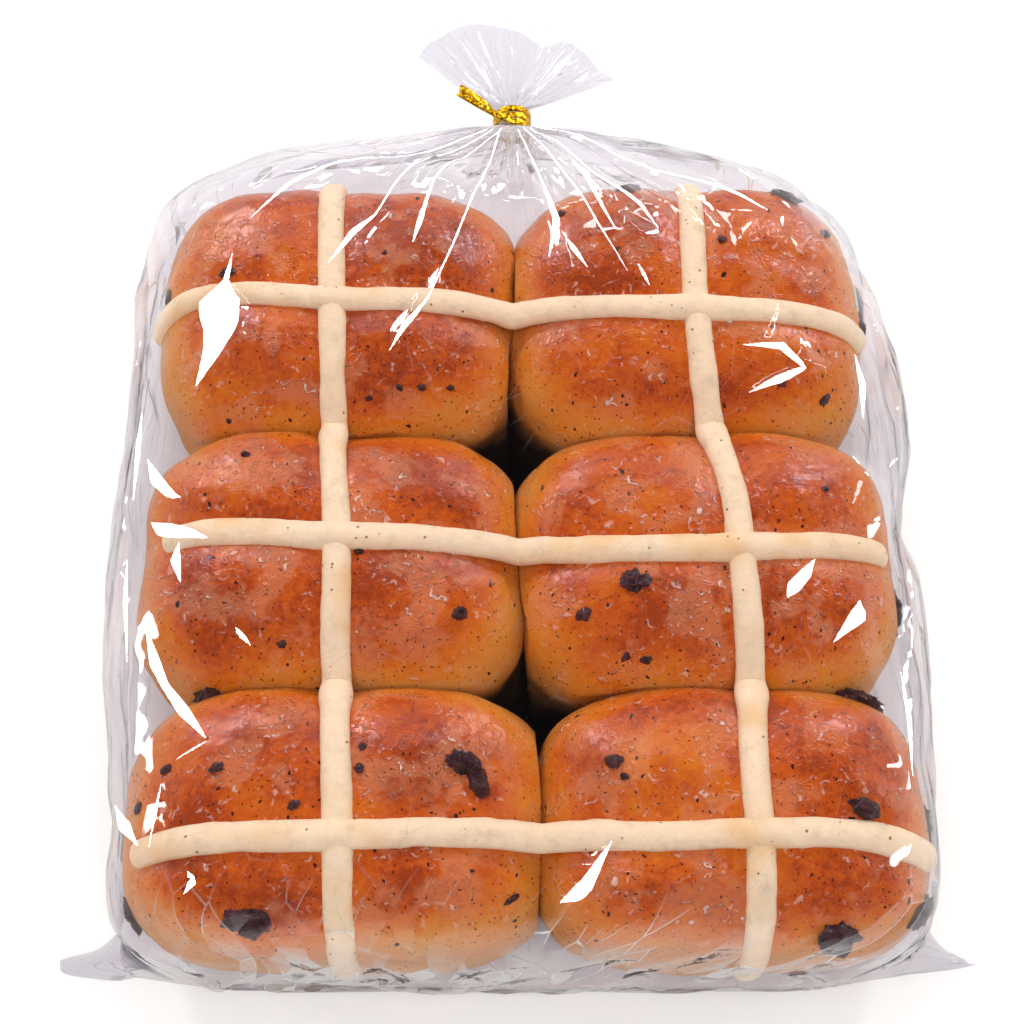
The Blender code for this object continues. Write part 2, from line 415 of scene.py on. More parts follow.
# %% [markdown]
# ## The crosses' routes
#
# The piped lines come first, because the buns rise round them: the paste holds the dough down, so each
# quarter of a bun swells up beside it. A route is a few points that a smooth curve passes through. Two run
# along the bag and three across it, each one a little crooked, as piping is.

# %% Routes of the piped lines, in millimetres


def smooth_route(knots):
    """A function through these knots: cubic pieces whose slopes come from the neighbouring knots."""
    at, value = np.array(knots, float).T
    slope = np.gradient(value, at)

    def route(t):
        """The curve's value at t, by the cubic Hermite formula."""
        i = np.clip(np.searchsorted(at, t) - 1, 0, len(at) - 2)
        width = at[i + 1] - at[i]
        u = np.clip((t - at[i]) / width, 0.0, 1.0)
        return (
            (2 * u**3 - 3 * u**2 + 1) * value[i]
            + (u**3 - 2 * u**2 + u) * width * slope[i]
            + (3 * u**2 - 2 * u**3) * value[i + 1]
            + (u**3 - u**2) * width * slope[i + 1]
        )

    return route


left_line = smooth_route(
    [(-86, -34.0), (-64, -34.6), (-32, -36.8), (0, -37.6), (28, -40.0), (61, -41.4), (95, -43.5)]
)
right_line = smooth_route(
    [(-86, 48.8), (-64, 49.1), (-48, 48.8), (-30, 50.0), (-5, 49.1)]
    + [(11, 48.2), (29, 45.0), (45, 43.2), (61, 42.3), (95, 42.8)]
)
back_line = smooth_route(
    [(-86, 60.5), (-76, 63.6), (-60, 62.8), (-41, 60.8), (-19, 61.3)]
    + [(2, 60.7), (22, 59.4), (43, 58.4), (66, 58.0), (86, 57.6)]
)
middle_line = smooth_route(
    [(-86, 1.8), (-66, 2.4), (-38, 0.6), (-17, 0.7), (2, 0.0)]
    + [(14, -1.4), (30, -2.2), (49, -2.1), (66, -0.9), (88, 1.0)]
)
front_line = smooth_route(
    [(-82, -67.2), (-62, -65.0), (-34, -64.7), (-16, -63.8), (7, -63.4)]
    + [(27, -64.6), (48, -64.3), (69, -64.1), (90, -66.8)]
)
column_seam = smooth_route(
    [(-90, 5.4), (-75, 5.6), (-56, 6.2), (-39, 4.8), (-12, 2.6), (7, 0.9), (43, -0.9), (60, 0.0), (105, 0.5)]
)

# %% [markdown]
# ## The buns
#
# Seen from above, a batch-baked bun is a rounded square. Seen from the side, it is a low dome on a flat
# base. Both outlines are superellipses: `(|x/a|^n + |y/b|^n)^(1/n) = 1` is an ellipse at n = 2 and comes
# closer to a box as n grows. One function gives the height of the dome over any point, and the mesh, the
# crosses and the fruit all use it, so everything sits on the same surface.
#
# Where two buns met in the oven, they pressed flat. Each bun is made a little too wide and is then cut off
# at the seam between them. That leaves the tight grooves between rows, and holes where four corners meet.
# Low down, those corners are made squarer, so the holes close and show no light.

# %% Six domes

CROWN = 46.0  # height of a bun
WAIST = 21.0  # height at which it is widest
GAP_TO_FILM = 2.6  # between the front buns and the bulge of the film
ROW_SEAMS = (-30.6, 30.9)
DOME_POWER = 2.75
BASE_POWER = 4.5
SQUARE_BELOW = 9.0  # how much squarer the corners that meet are, low down
PRESS = 2.4  # how far each bun would reach past its seams
HELD_DOWN = 2.0  # how much deeper the crust lies under a piped line

Bun = namedtuple("Bun", "name column row left right front back")
outer_left = {"back": -84.3, "middle": -82.8, "front": -81.0}
outer_right = {"back": 83.4, "middle": 84.9, "front": 86.8}
row_ends = {
    "back": (ROW_SEAMS[1], 101.5),
    "middle": (ROW_SEAMS[0], ROW_SEAMS[1]),
    "front": (BAG_LOW[1] + GAP_TO_FILM, ROW_SEAMS[0]),
}


def make_buns():
    """The six buns' outlines in plan."""
    made = []
    for row, (front, back) in row_ends.items():
        seam = float(column_seam(np.array((front + back) / 2.0)))
        made.append(Bun(f"bun_{row}_left", "left", row, outer_left[row], seam, front, back))
        made.append(Bun(f"bun_{row}_right", "right", row, seam, outer_right[row], front, back))
    return made


buns = make_buns()


def plan_reach(bun, dx, dy):
    """Half-sizes of the bun towards each point, and the squareness of its corner there.

    Sides that press on a neighbour reach past the seam. Free corners are rounder.
    """
    half_x = (bun.right - bun.left) / 2.0
    half_y = (bun.back - bun.front) / 2.0
    outward = np.where(dx < 0, bun.column == "left", bun.column == "right")
    free_front = bun.row == "front"
    free_back = bun.row == "back"
    free_y = np.where(dy < 0, free_front, free_back)
    a = half_x + PRESS * (~outward)
    b = half_y + PRESS * (~free_y)
    n = 3.5 - 0.1 * outward - 0.05 * free_y
    return a, b, n


def bun_middle(bun):
    """Centre of the bun in plan."""
    return (bun.left + bun.right) / 2.0, (bun.front + bun.back) / 2.0


def from_middle(bun, x, y):
    """How far out each point lies: 0 in the bun's middle, 1 on its outline at the waist."""
    x_mid, y_mid = bun_middle(bun)
    dx, dy = x - x_mid, y - y_mid
    a, b, n = plan_reach(bun, dx, dy)
    return (np.abs(dx / a) ** n + np.abs(dy / b) ** n) ** (1.0 / n)


def swelling(x, y):
    """Relief on the crowns in millimetres: held down along the piped lines, uneven between them."""
    to_column = np.minimum(np.abs(x - left_line(y)), np.abs(x - right_line(y)))
    to_row = np.minimum(np.abs(y - back_line(x)), np.abs(y - middle_line(x)))
    to_row = np.minimum(to_row, np.abs(y - front_line(x)))
    near_column, near_row = np.exp(-((to_column / 7.0) ** 2)), np.exp(-((to_row / 6.5) ** 2))
    held = near_column + near_row - near_column * near_row
    place = np.stack([x, y, np.zeros_like(x)], axis=-1)
    uneven = 0.9 * lumps(place, 24.0, 3) + 0.55 * lumps(place, 10.0, 4) + 0.2 * lumps(place, 4.5, 8)
    return uneven * (1.0 - held) - HELD_DOWN * held


def dome(bun, x, y):
    """Height of a bun's top over (x, y): a superellipse dome with the swelling on it, fading at its edge."""
    out = np.clip(from_middle(bun, x, y), 0.0, 1.0)
    rise = (1.0 - out**DOME_POWER) ** (1.0 / DOME_POWER)
    return WAIST + (CROWN - WAIST) * rise + swelling(x, y) * ramp(rise, 0.0, 0.5)


def slab(x, y):
    """Height of the highest bun over (x, y)."""
    return np.max([dome(bun, x, y) for bun in buns], axis=0)


def bun_rings(bun, rows=170, columns=320):
    """Rings from the crown down to the base, as points in millimetres.

    A ring's place on the side outline is an angle, from straight up to straight down. Its distance from the
    axis is scaled by the outline in plan, and the parts past a seam are pressed flat against it.
    """
    lean = np.linspace(math.pi / 2, -math.pi / 2, rows + 2)[1:-1, None]
    power = np.where(lean > 0, DOME_POWER, BASE_POWER)
    stretch = superellipse(lean, power)
    out, up = stretch * np.cos(lean), stretch * np.sin(lean)
    turn = np.linspace(0.0, 2.0 * math.pi, columns, endpoint=False)[None, :]
    a, b, n = plan_reach(bun, np.cos(turn), np.sin(turn))
    inner = (np.cos(turn) > 0) if bun.column == "left" else (np.cos(turn) < 0)
    inner = inner & ~((np.sin(turn) < 0) & (bun.row == "front")) & ~((np.sin(turn) > 0) & (bun.row == "back"))
    n = n + SQUARE_BELOW * inner * ramp(up, -0.1, -0.6)
    reach = (np.abs(np.cos(turn) / a) ** n + np.abs(np.sin(turn) / b) ** n) ** (-1.0 / n)
    x_mid, y_mid = bun_middle(bun)
    x = x_mid + out * reach * np.cos(turn)
    y = y_mid + out * reach * np.sin(turn)
    z = WAIST + up * np.where(lean > 0, CROWN - WAIST, WAIST - 0.5)
    z = z + swelling(x, y) * ramp(up, 0.0, 0.5)
    points = np.stack([x, y, z + np.zeros_like(x)], axis=-1)

    seed = 10 + buns.index(bun)
    side = np.cos(lean) ** 2
    bulge = side * (1.1 * lumps(points, 17.0, seed) + 0.4 * lumps(points, 7.0, seed + 50))
    bulge += 0.14 * lumps(points, 3.6, seed + 90)
    points[..., 0] += bulge * np.cos(turn)
    points[..., 1] += bulge * np.sin(turn)
    points[..., 2] = np.where(up > 0.3, points[..., 2] + 0.1 * lumps(points, 3.0, seed + 70), points[..., 2])

    seam = column_seam(points[..., 1]) + 0.5 * lumps(points, 9.0, 5)
    if bun.column == "left":
        points[..., 0] = np.minimum(points[..., 0], seam)
    else:
        points[..., 0] = np.maximum(points[..., 0], seam)
    if bun.row != "front":
        seam = ROW_SEAMS[0 if bun.row == "middle" else 1] + 0.5 * lumps(points, 9.0, 6)
        points[..., 1] = np.maximum(points[..., 1], seam)
    if bun.row != "back":
        seam = ROW_SEAMS[1 if bun.row == "middle" else 0] + 0.5 * lumps(points, 9.0, 6)
        points[..., 1] = np.minimum(points[..., 1], seam)
    return points


def browning(bun, points):
    """How far the crust baked, from 0 to 1: most on the crown, least low down and where buns touched."""
    x, y, z = np.moveaxis(points, -1, 0)
    seed = 30 + buns.index(bun)
    by_height = ramp(z + 3.5 * lumps(points, 12.0, seed), 14.0, 43.0)
    uneven = 0.16 * lumps(points, 16.0, seed + 7) + 0.08 * lumps(points, 5.0, seed + 11)
    edge = ramp(from_middle(bun, x, y), 0.99, 0.72)
    return np.clip(0.12 + 0.78 * by_height * (0.45 + 0.55 * edge) + uneven * by_height, 0.0, 1.0)


def painted_shade_in_holes(points):
    """Where four buns meet, the weight of the painted shade in the hole: 1 far down, 0 in the open."""
    x, y, z = np.moveaxis(points, -1, 0)
    away = np.hypot(x - column_seam(y), np.minimum(np.abs(y - ROW_SEAMS[0]), np.abs(y - ROW_SEAMS[1])))
    return ramp(away, 24.0, 15.0) * ramp(z + 1.5 * lumps(points, 5.0, 9), 27.0, 17.0)


def make_bun(bun):
    """One bun with its crust."""
    rings = bun_rings(bun)
    piece = skin(bun.name, rings[::-1], crust)
    paint(piece, "bake", browning(bun, rings[::-1]))
    # Painted shade far down in the holes between buns.
    paint(piece, "painted_hole_shade", painted_shade_in_holes(rings[::-1]))
    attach(piece, "root")
    return piece


for bun in buns:
    made_bun = make_bun(bun)
    print(made_bun.name, "is", round(bun.right - bun.left, 1), "by", round(bun.back - bun.front, 1), "mm")

# %% [markdown]
# ## The crosses
#
# A piped line is a half-round bead. Its spine lies on the domes. Over a groove between two buns the paste
# doesn't follow all the way down: it hangs across like a rope. That is a running maximum: each point of the
# spine is as high as any neighbour lets it be, less a drop that grows with the square of the distance.

# %% Spines and beads

BEAD_WIDTH = 6.2
BEAD_HEIGHT = 2.3
BEAD_ROOT = 2.2  # how far the bead reaches into the crust
STEP = 0.5  # spacing along a spine


def hang_across(height, drop):
    """The running maximum of heights sampled every STEP, less drop times the squared distance."""
    shifts = np.arange(-32, 33)
    padded = np.pad(height, 32, mode="edge")
    shifted = np.stack([padded[32 + s : 32 + s + len(height)] for s in shifts])
    return np.max(shifted - drop * (shifts[:, None] * STEP) ** 2, axis=0)


def end_over_side(lowest, highest=62.0, count=40):
    """The side outline of a bun between two angles: distance out as a share of its half-size, and height."""
    lean = np.radians(np.linspace(lowest, highest, count))
    power = np.where(lean > 0, DOME_POWER, BASE_POWER)
    stretch = superellipse(lean, power)
    out, up = stretch * np.cos(lean), stretch * np.sin(lean)
    return out, up, WAIST + up * np.where(lean > 0, CROWN - WAIST, WAIST)


def spine(route, along, low_end, high_end, drop):
    """Points of a piped line over the slab: both ends come down over the outer sides of the buns.

    along is 0 for a line across the bag and 1 for one along it. low_end and high_end are, for the first and
    the last bun on the way, its middle, its half-size and the angle down to which the line runs.
    """
    low_out, low_up, low_side = end_over_side(low_end[2])
    high_out, high_up, high_side = end_over_side(high_end[2])
    start = low_end[0] - low_end[1] * low_out
    finish = high_end[0] + high_end[1] * high_out[::-1]
    inner = np.arange(start[-1], finish[0], STEP)
    x, y = (inner, route(inner)) if along == 0 else (route(inner), inner)
    height = slab(x, y)
    seams = [float(column_seam(np.mean(y)))] if along == 0 else ROW_SEAMS
    near = np.max([ramp(np.abs(inner - seam), 20.0, 12.0) for seam in seams], axis=0)
    height += near * (hang_across(height, drop) - height)
    low_rise = low_side - HELD_DOWN * ramp(low_up, 0.0, 0.5)
    high_rise = high_side - HELD_DOWN * ramp(high_up, 0.0, 0.5)
    travel = np.concatenate([start, inner[1:-1], finish])
    rise = np.concatenate([low_rise, height[1:-1], high_rise[::-1]])
    other = route(travel)
    flat = (travel, other) if along == 0 else (other, travel)
    points = np.stack([*flat, rise], axis=-1)
    length = np.concatenate([[0.0], np.cumsum(np.linalg.norm(np.diff(points, axis=0), axis=1))])
    even = np.arange(0.0, length[-1], STEP)
    return np.stack([np.interp(even, length, points[:, k]) for k in range(3)], axis=-1)


def soften(values, width):
    """A moving average along the first axis, with its ends held."""
    kernel = np.ones(width) / width
    padded = np.pad(values, ((width // 2, width // 2), (0, 0)), mode="edge")
    return np.stack([np.convolve(padded[:, k], kernel, "valid") for k in range(values.shape[1])], axis=-1)


def bead_rings(line, lift, widen, seed, columns=28):
    """A half-round bead along a spine. lift and widen vary its height and width along the way.

    Past the widest point of a bun the spine runs back under itself, so the direction in plan is kept the
    same way round by the line's overall direction. Otherwise the rings would turn over there.
    """
    line = soften(line, 5)
    line = line + np.array([0.0, 0.0, 1.0]) * lift[:, None]
    ahead = np.gradient(line, axis=0)
    ahead /= np.linalg.norm(ahead, axis=1, keepdims=True)
    ahead = soften(ahead, 5)
    overall = (line[-1] - line[0]) * (1.0, 1.0, 0.0) / np.linalg.norm(line[-1] - line[0])
    flat = ahead * (1.0, 1.0, 0.0)
    flat = flat * np.where(flat @ overall < 0.0, -1.0, 1.0)[:, None] + 0.05 * overall
    aside = np.cross([0.0, 0.0, 1.0], flat)
    aside /= np.linalg.norm(aside, axis=1, keepdims=True)
    outward = np.cross(ahead, aside)
    turn = np.linspace(0.0, 2.0 * math.pi, columns, endpoint=False)
    from_end = np.minimum(np.arange(len(line)), np.arange(len(line))[::-1]) * STEP
    closing = np.sqrt(1.0 - (1.0 - np.clip(from_end / 2.6, 0.05, 1.0)) ** 2)
    wide = BEAD_WIDTH / 2.0 * widen * closing
    upper = np.where(np.sin(turn) > 0, BEAD_HEIGHT, BEAD_ROOT)
    across = wide[:, None] * np.cos(turn)[None, :]
    above = (closing[:, None] * upper) * np.sign(np.sin(turn)) * np.abs(np.sin(turn)) ** 0.85
    rings = line[:, None] + across[..., None] * aside[:, None] + above[..., None] * outward[:, None]
    uneven = 0.22 * lumps(rings, 6.0, seed) + 0.1 * lumps(rings, 2.4, seed + 1)
    middle = line[:, None]
    away = rings - middle
    away /= np.maximum(np.linalg.norm(away, axis=-1, keepdims=True), 1e-6)
    return rings + away * uneven[..., None]


def make_bead(name, route, along, ends, drop, seed):
    """One piped line of flour paste from end to end."""
    line = spine(route, along, *ends, drop)
    travel = line[:, along]
    lift = np.zeros(len(line))
    widen = 1.0 + 0.06 * lumps(line, 20.0, seed + 5)
    if along == 0:
        for crossing in (left_line, right_line):
            lift += 0.75 * np.exp(-(((travel - crossing(line[:, 1])) / 4.2) ** 2))
    else:
        for seam in ROW_SEAMS:
            widen += 0.16 * np.exp(-(((travel - seam + 3.0) / 3.0) ** 2))
    piece = skin(name, bead_rings(line, lift, widen, seed), flour_paste)
    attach(piece, "root")
    print(name, "is", round(len(line) * STEP), "mm long")
    return piece


def ends_across(row, low_angle, high_angle):
    """Middle, half-size and lowest angle for the outer buns of a row."""
    left, right = [bun for bun in buns if bun.row == row]
    return (
        (bun_middle(left)[0], bun_middle(left)[0] - left.left, low_angle),
        (bun_middle(right)[0], right.right - bun_middle(right)[0], high_angle),
    )


front, back = row_ends["front"], row_ends["back"]
ends_along = (
    ((front[0] + front[1]) / 2.0, (front[1] - front[0]) / 2.0 - 0.7, -24.0),
    ((back[0] + back[1]) / 2.0, (back[1] - back[0]) / 2.0, 5.0),
)
make_bead("cross_along_left", left_line, 1, ends_along, 0.07, 60)
make_bead("cross_along_right", right_line, 1, ends_along, 0.07, 64)
make_bead("cross_over_back_row", back_line, 0, ends_across("back", 12.0, 22.0), 0.03, 68)
make_bead("cross_over_middle_row", middle_line, 0, ends_across("middle", 40.0, 31.0), 0.03, 72)
make_bead("cross_over_front_row", front_line, 0, ends_across("front", 34.0, 24.0), 0.03, 76)

# %% [markdown]
# ## Raisins
#
# A raisin is a grape that lost three quarters of its size, so its skin stands in folds. Each one here is a
# ball of rings pulled in along the ridges of a noise, stretched to its length and width, and sunk about
# halfway into the crust. `on_crust` finds the point of a bun's side or crown towards any direction, and the
# way the crust faces there: the gradient of the superellipse that the bun is made of.

# %% Where fruit sits


def on_crust(x, y, z):
    """The crust's point nearest to (x, y, z) on the line from its bun's middle, and its outward direction."""
    bun = min(buns, key=lambda each: float(from_middle(each, np.array(x), np.array(y))))
    x_mid, y_mid = bun_middle(bun)
    away = np.array([x - x_mid, y - y_mid, max(z - WAIST, 0.0)])
    a, b, n = (float(value) for value in plan_reach(bun, *away[:2]))
    share = np.abs(away / (a, b, CROWN - WAIST))
    plan = (share[0] ** n + share[1] ** n) ** (1.0 / n)
    whole = (plan**DOME_POWER + share[2] ** DOME_POWER) ** (1.0 / DOME_POWER)
    point = np.array([x_mid, y_mid, WAIST]) + away / whole
    plan_pull = (plan / whole) ** (DOME_POWER - 1.0)
    facing = np.array(
        [
            np.sign(away[0]) * plan_pull * (share[0] / plan) ** (n - 1.0) / a,
            np.sign(away[1]) * plan_pull * (share[1] / plan) ** (n - 1.0) / b,
            (share[2] / whole) ** (DOME_POWER - 1.0) / (CROWN - WAIST),
        ]
    )
    facing /= np.linalg.norm(facing)
    point[2] += float(swelling(point[0], point[1]) * ramp(share[2] / whole, 0.0, 0.5))
    return point, facing


# %% Raisin material and shape


def make_raisin_skin():
    """Dried grape skin: IOR 1.45, rough 0.35, dark with purple and brown patches about 2 mm across.

    The oven leaves it with a film of syrup, a smooth coat that glints on its folds.
    """
    material, tree, output = blank_material("dried_grape_skin")
    where = add(tree, "ShaderNodeTexCoord").outputs["Object"]
    patches = noise(tree, where, 420.0, 3.0)
    colour = colour_ramp(
        tree,
        patches,
        [(0.3, "#2a1214"), (0.45, "#4a2022"), (0.6, "#54303a"), (0.72, "#8a4030")],
    )
    folds = noise(tree, where, 900.0, 4.0, roughness=0.7)
    bump = bumped(tree, folds, 1.8, 1.0)
    finish_with(tree, output, {
            "Base Color": colour,
            "Roughness": 0.35,
            "IOR": 1.45,
            "Normal": bump,
            "Coat Weight": 1.0,
            "Coat Roughness": 0.12,
            "Coat Normal": bump,
        })
    return material


raisin_skin = make_raisin_skin()


def raisin_points(x, y, z, length, width, turned, seed, rows=26, columns=36):
    """Rings of one raisin: a ball pulled in along ridges, stretched, turned by degrees and set in."""
    lean = np.linspace(-math.pi / 2, math.pi / 2, rows + 2)[1:-1, None]
    turn = np.linspace(0.0, 2.0 * math.pi, columns, endpoint=False)[None, :]
    parts = (np.cos(lean) * np.cos(turn), np.cos(lean) * np.sin(turn), np.sin(lean) + 0.0 * turn)
    ball = np.stack(parts, axis=-1)
    fold = 0.5 * np.abs(lumps(ball + seed, 0.7, seed)) ** 0.7
    fold = fold + 0.24 * np.abs(lumps(ball - seed, 0.34, seed + 1)) ** 0.7
    shape = ball * (1.12 - fold + 0.2 * lumps(ball + 2 * seed, 1.3, seed + 2))[..., None]
    shape = shape * (length / 2.0, width / 2.0, min(length, width) * 0.42)
    point, facing = on_crust(x, y, z)
    heading = np.array([math.cos(math.radians(turned)), math.sin(math.radians(turned)), 0.0])
    heading -= facing * heading.dot(facing)
    heading /= np.linalg.norm(heading)
    return point + 0.02 * width * facing + shape @ np.array([heading, np.cross(facing, heading), facing])


# Each raisin: place (x, y, z), length, width in millimetres, and its turn in degrees.
LARGE_RAISINS = [
    (-53.0, -81.4, 40.0, 11.5, 8.5, -8.0),
    (-8.4, -49.0, 44.5, 8.5, 6.0, -22.0),
    (-4.6, -52.6, 44.5, 8.0, 4.6, -62.0),
    (26.0, -10.0, 45.0, 6.8, 5.6, 8.0),
    (64.6, -83.5, 36.0, 10.5, 8.0, 5.0),
    (80.1, -75.7, 30.0, 9.5, 6.2, 68.0),
    (84.6, -8.9, 24.0, 12.0, 5.0, 84.0),
    (86.0, -57.0, 24.0, 11.0, 4.5, 86.0),
    (-65.3, -30.9, 31.0, 7.5, 5.0, 5.0),
    (-76.5, -74.9, 22.0, 9.0, 4.6, -70.0),
    (-6.1, -19.2, 45.0, 4.6, 3.4, 20.0),
    (69.3, -58.6, 43.0, 8.0, 4.6, -14.0),
    (74.5, -31.5, 31.0, 12.0, 6.0, -4.0),
    (78.0, 63.5, 28.0, 9.0, 4.6, -62.0),
    (30.5, 88.6, 36.0, 7.5, 4.6, 12.0),
    (62.0, 90.8, 34.0, 10.0, 4.4, -18.0),
]
SMALL_RAISINS = [
    (10.7, -19.4, 45.0, 4.4, 3.6, 30.0),
    (-65.3, 68.9, 43.0, 4.4, 3.4, 0.0),
    (48.7, 75.9, 44.0, 2.8, 2.2, 0.0),
    (73.9, 83.0, 38.0, 3.6, 2.4, 20.0),
    (18.7, -48.9, 45.0, 4.8, 3.6, 12.0),
    (-43.2, -58.7, 45.0, 3.6, 2.6, 30.0),
    (-59.3, -51.0, 44.0, 3.8, 2.6, 0.0),
    (-30.4, 31.8, 44.0, 2.4, 2.0, 0.0),
    (-23.1, 35.2, 44.0, 2.2, 1.8, 0.0),
    (-16.7, 34.4, 44.0, 2.2, 1.8, 0.0),
    (63.4, 36.8, 44.0, 3.0, 2.2, 50.0),
    (-60.2, 22.7, 44.0, 2.6, 2.0, 0.0),
    (69.4, 13.0, 44.0, 2.2, 1.8, 0.0),
    (26.6, -29.0, 42.0, 3.2, 2.4, 10.0),
    (21.8, -28.2, 42.0, 3.0, 2.0, 60.0),
    (-49.1, -25.9, 44.0, 2.4, 2.0, 0.0),
    (-33.4, -2.8, 44.0, 2.2, 1.8, 0.0),
    (-31.0, -51.8, 44.0, 2.8, 2.2, 0.0),
    (-30.6, -47.2, 44.0, 2.2, 1.8, 0.0),
    (22.6, -52.8, 44.0, 2.6, 2.0, 0.0),
    (76.8, 33.6, 40.0, 4.4, 3.0, 40.0),
    (-78.9, 67.9, 34.0, 5.4, 2.6, 60.0),
    (-69.0, -50.5, 40.0, 3.2, 2.2, 20.0),
    (-75.0, -57.0, 36.0, 3.0, 2.2, 70.0),
    (3.5, -77.0, 38.0, 4.4, 1.8, 24.0),
    (-10.0, 36.0, 42.0, 2.0, 1.6, 0.0),
    (12.0, 87.0, 40.0, 3.0, 2.2, 0.0),
]


def make_raisins(name, places, rows, columns):
    """One object of many raisins, each with its own closed skin."""
    shells = [raisin_points(*place, 200 + 9 * k, rows, columns) for k, place in enumerate(places)]
    points = [with_poles(rings) for rings in shells]
    starts = len(points[0]) * np.arange(len(places))
    one = closed_faces(rows, columns)
    faces = [[int(start) + corner for corner in face] for start in starts for face in one]
    piece = mesh_piece(name, np.concatenate(points), faces, raisin_skin)
    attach(piece, "root")
    print(name, "holds", len(places), "raisins in", len(faces), "faces")


make_raisins("large_raisins", LARGE_RAISINS, 36, 52)
make_raisins("small_raisins", SMALL_RAISINS, 16, 22)

# %% [markdown]
# ## The twist tie
#
# The tie is a wire between two strips of metallised film, wound round the neck. Its shape in the imported model
# is right, so it stays, with a better finish. Gold-toned foil is aluminium under a yellow lacquer: a clear
# mirror with fine crinkles along the strip, about a millimetre apart, and a yellow that is a little darker or
# lighter from place to place.

# %% Gold foil material


def make_gold_foil():
    """Gold-lacquered foil: metallic, rough 0.16, with crinkles about a millimetre apart."""
    material, tree, output = blank_material("gold_lacquered_foil")
    where = add(tree, "ShaderNodeTexCoord").outputs["Object"]
    tarnish = noise(tree, where, 700.0, 3.0)
    gold = colour_ramp(tree, tarnish, [(0.3, "#b47a04"), (0.5, "#dca50a"), (0.7, "#efcb3c")])
    crinkle = noise(tree, where, 900.0, 2.0, distortion=0.6)
    bump = bumped(tree, crinkle, 0.6, 0.9)
    finish_with(tree, output, {"Base Color": gold, "Metallic": 1.0, "Roughness": 0.16, "Normal": bump})
    return material


gold_foil = make_gold_foil()
for material_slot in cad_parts["twist_tie"].material_slots:
    material_slot.material = gold_foil
print("the tie is", (TIE_HIGH - TIE_LOW).round(1), "mm with its tails")

# %% [markdown]
# ## The film
#
# Bread bags are cast polypropylene a few hundredths of a millimetre thick. It is clear and very smooth, so
# it lets most light straight through and mirrors a little of it at each of its two faces. Real refraction
# isn't worth its cost in such a thin sheet. A transparent shader mixed with a mirror looks the same and lets
# the lamps shine through. If one face mirrors R of the light, the sheet mirrors 2R / (1 + R). The bag's wall
# is a closed mesh with an outer and an inner face, so the mirror works only on the front of each face, and
# light that crosses the wall meets it once.

# %% [markdown]
# Handling leaves film full of small flat facets with straight, sharp edges. The large ones are in the mesh.
# The small ones come from a Voronoi lattice over the sheet's own flat map: each cell tilts the surface by its
# own random amount, so a reflection jumps from cell to cell. Along some of the edges runs a thin white line,
# a painted highlight of the sharp bend there, in a rough half-metal finish that also mirrors the lamps a
# little.
# Cells nine times longer than wide make the streaks at the sides. Three attributes on the mesh say where this
# happens: `crumple` is how far the facets tilt, `drawn` is 1 where they are drawn out into streaks, and
# `gather` is how densely the folds lie on each other near the tie.

# %% Film material


def facets(tree, sheet, width_mm, length_mm):
    """The random tilt of each cell of a lattice over the sheet, from -1 to 1, and the way to its edge."""
    lattice = add(
        tree, "ShaderNodeMapping", {"Vector": sheet, "Scale": (1.0, width_mm / length_mm, 1.0)}
    ).outputs["Vector"]
    shared = {"Vector": lattice, "Scale": 1.0 / (width_mm * MM)}
    cells = add(tree, "ShaderNodeTexVoronoi", shared, voronoi_dimensions="2D").outputs["Color"]
    tilt = add(
        tree,
        "ShaderNodeVectorMath",
        {0: cells, 1: (2.0, 2.0, 2.0), 2: (-1.0, -1.0, -1.0)},
        operation="MULTIPLY_ADD",
    ).outputs["Vector"]
    edge = add(tree, "ShaderNodeTexVoronoi", shared, voronoi_dimensions="2D", feature="DISTANCE_TO_EDGE")
    return tilt, edge.outputs["Distance"]


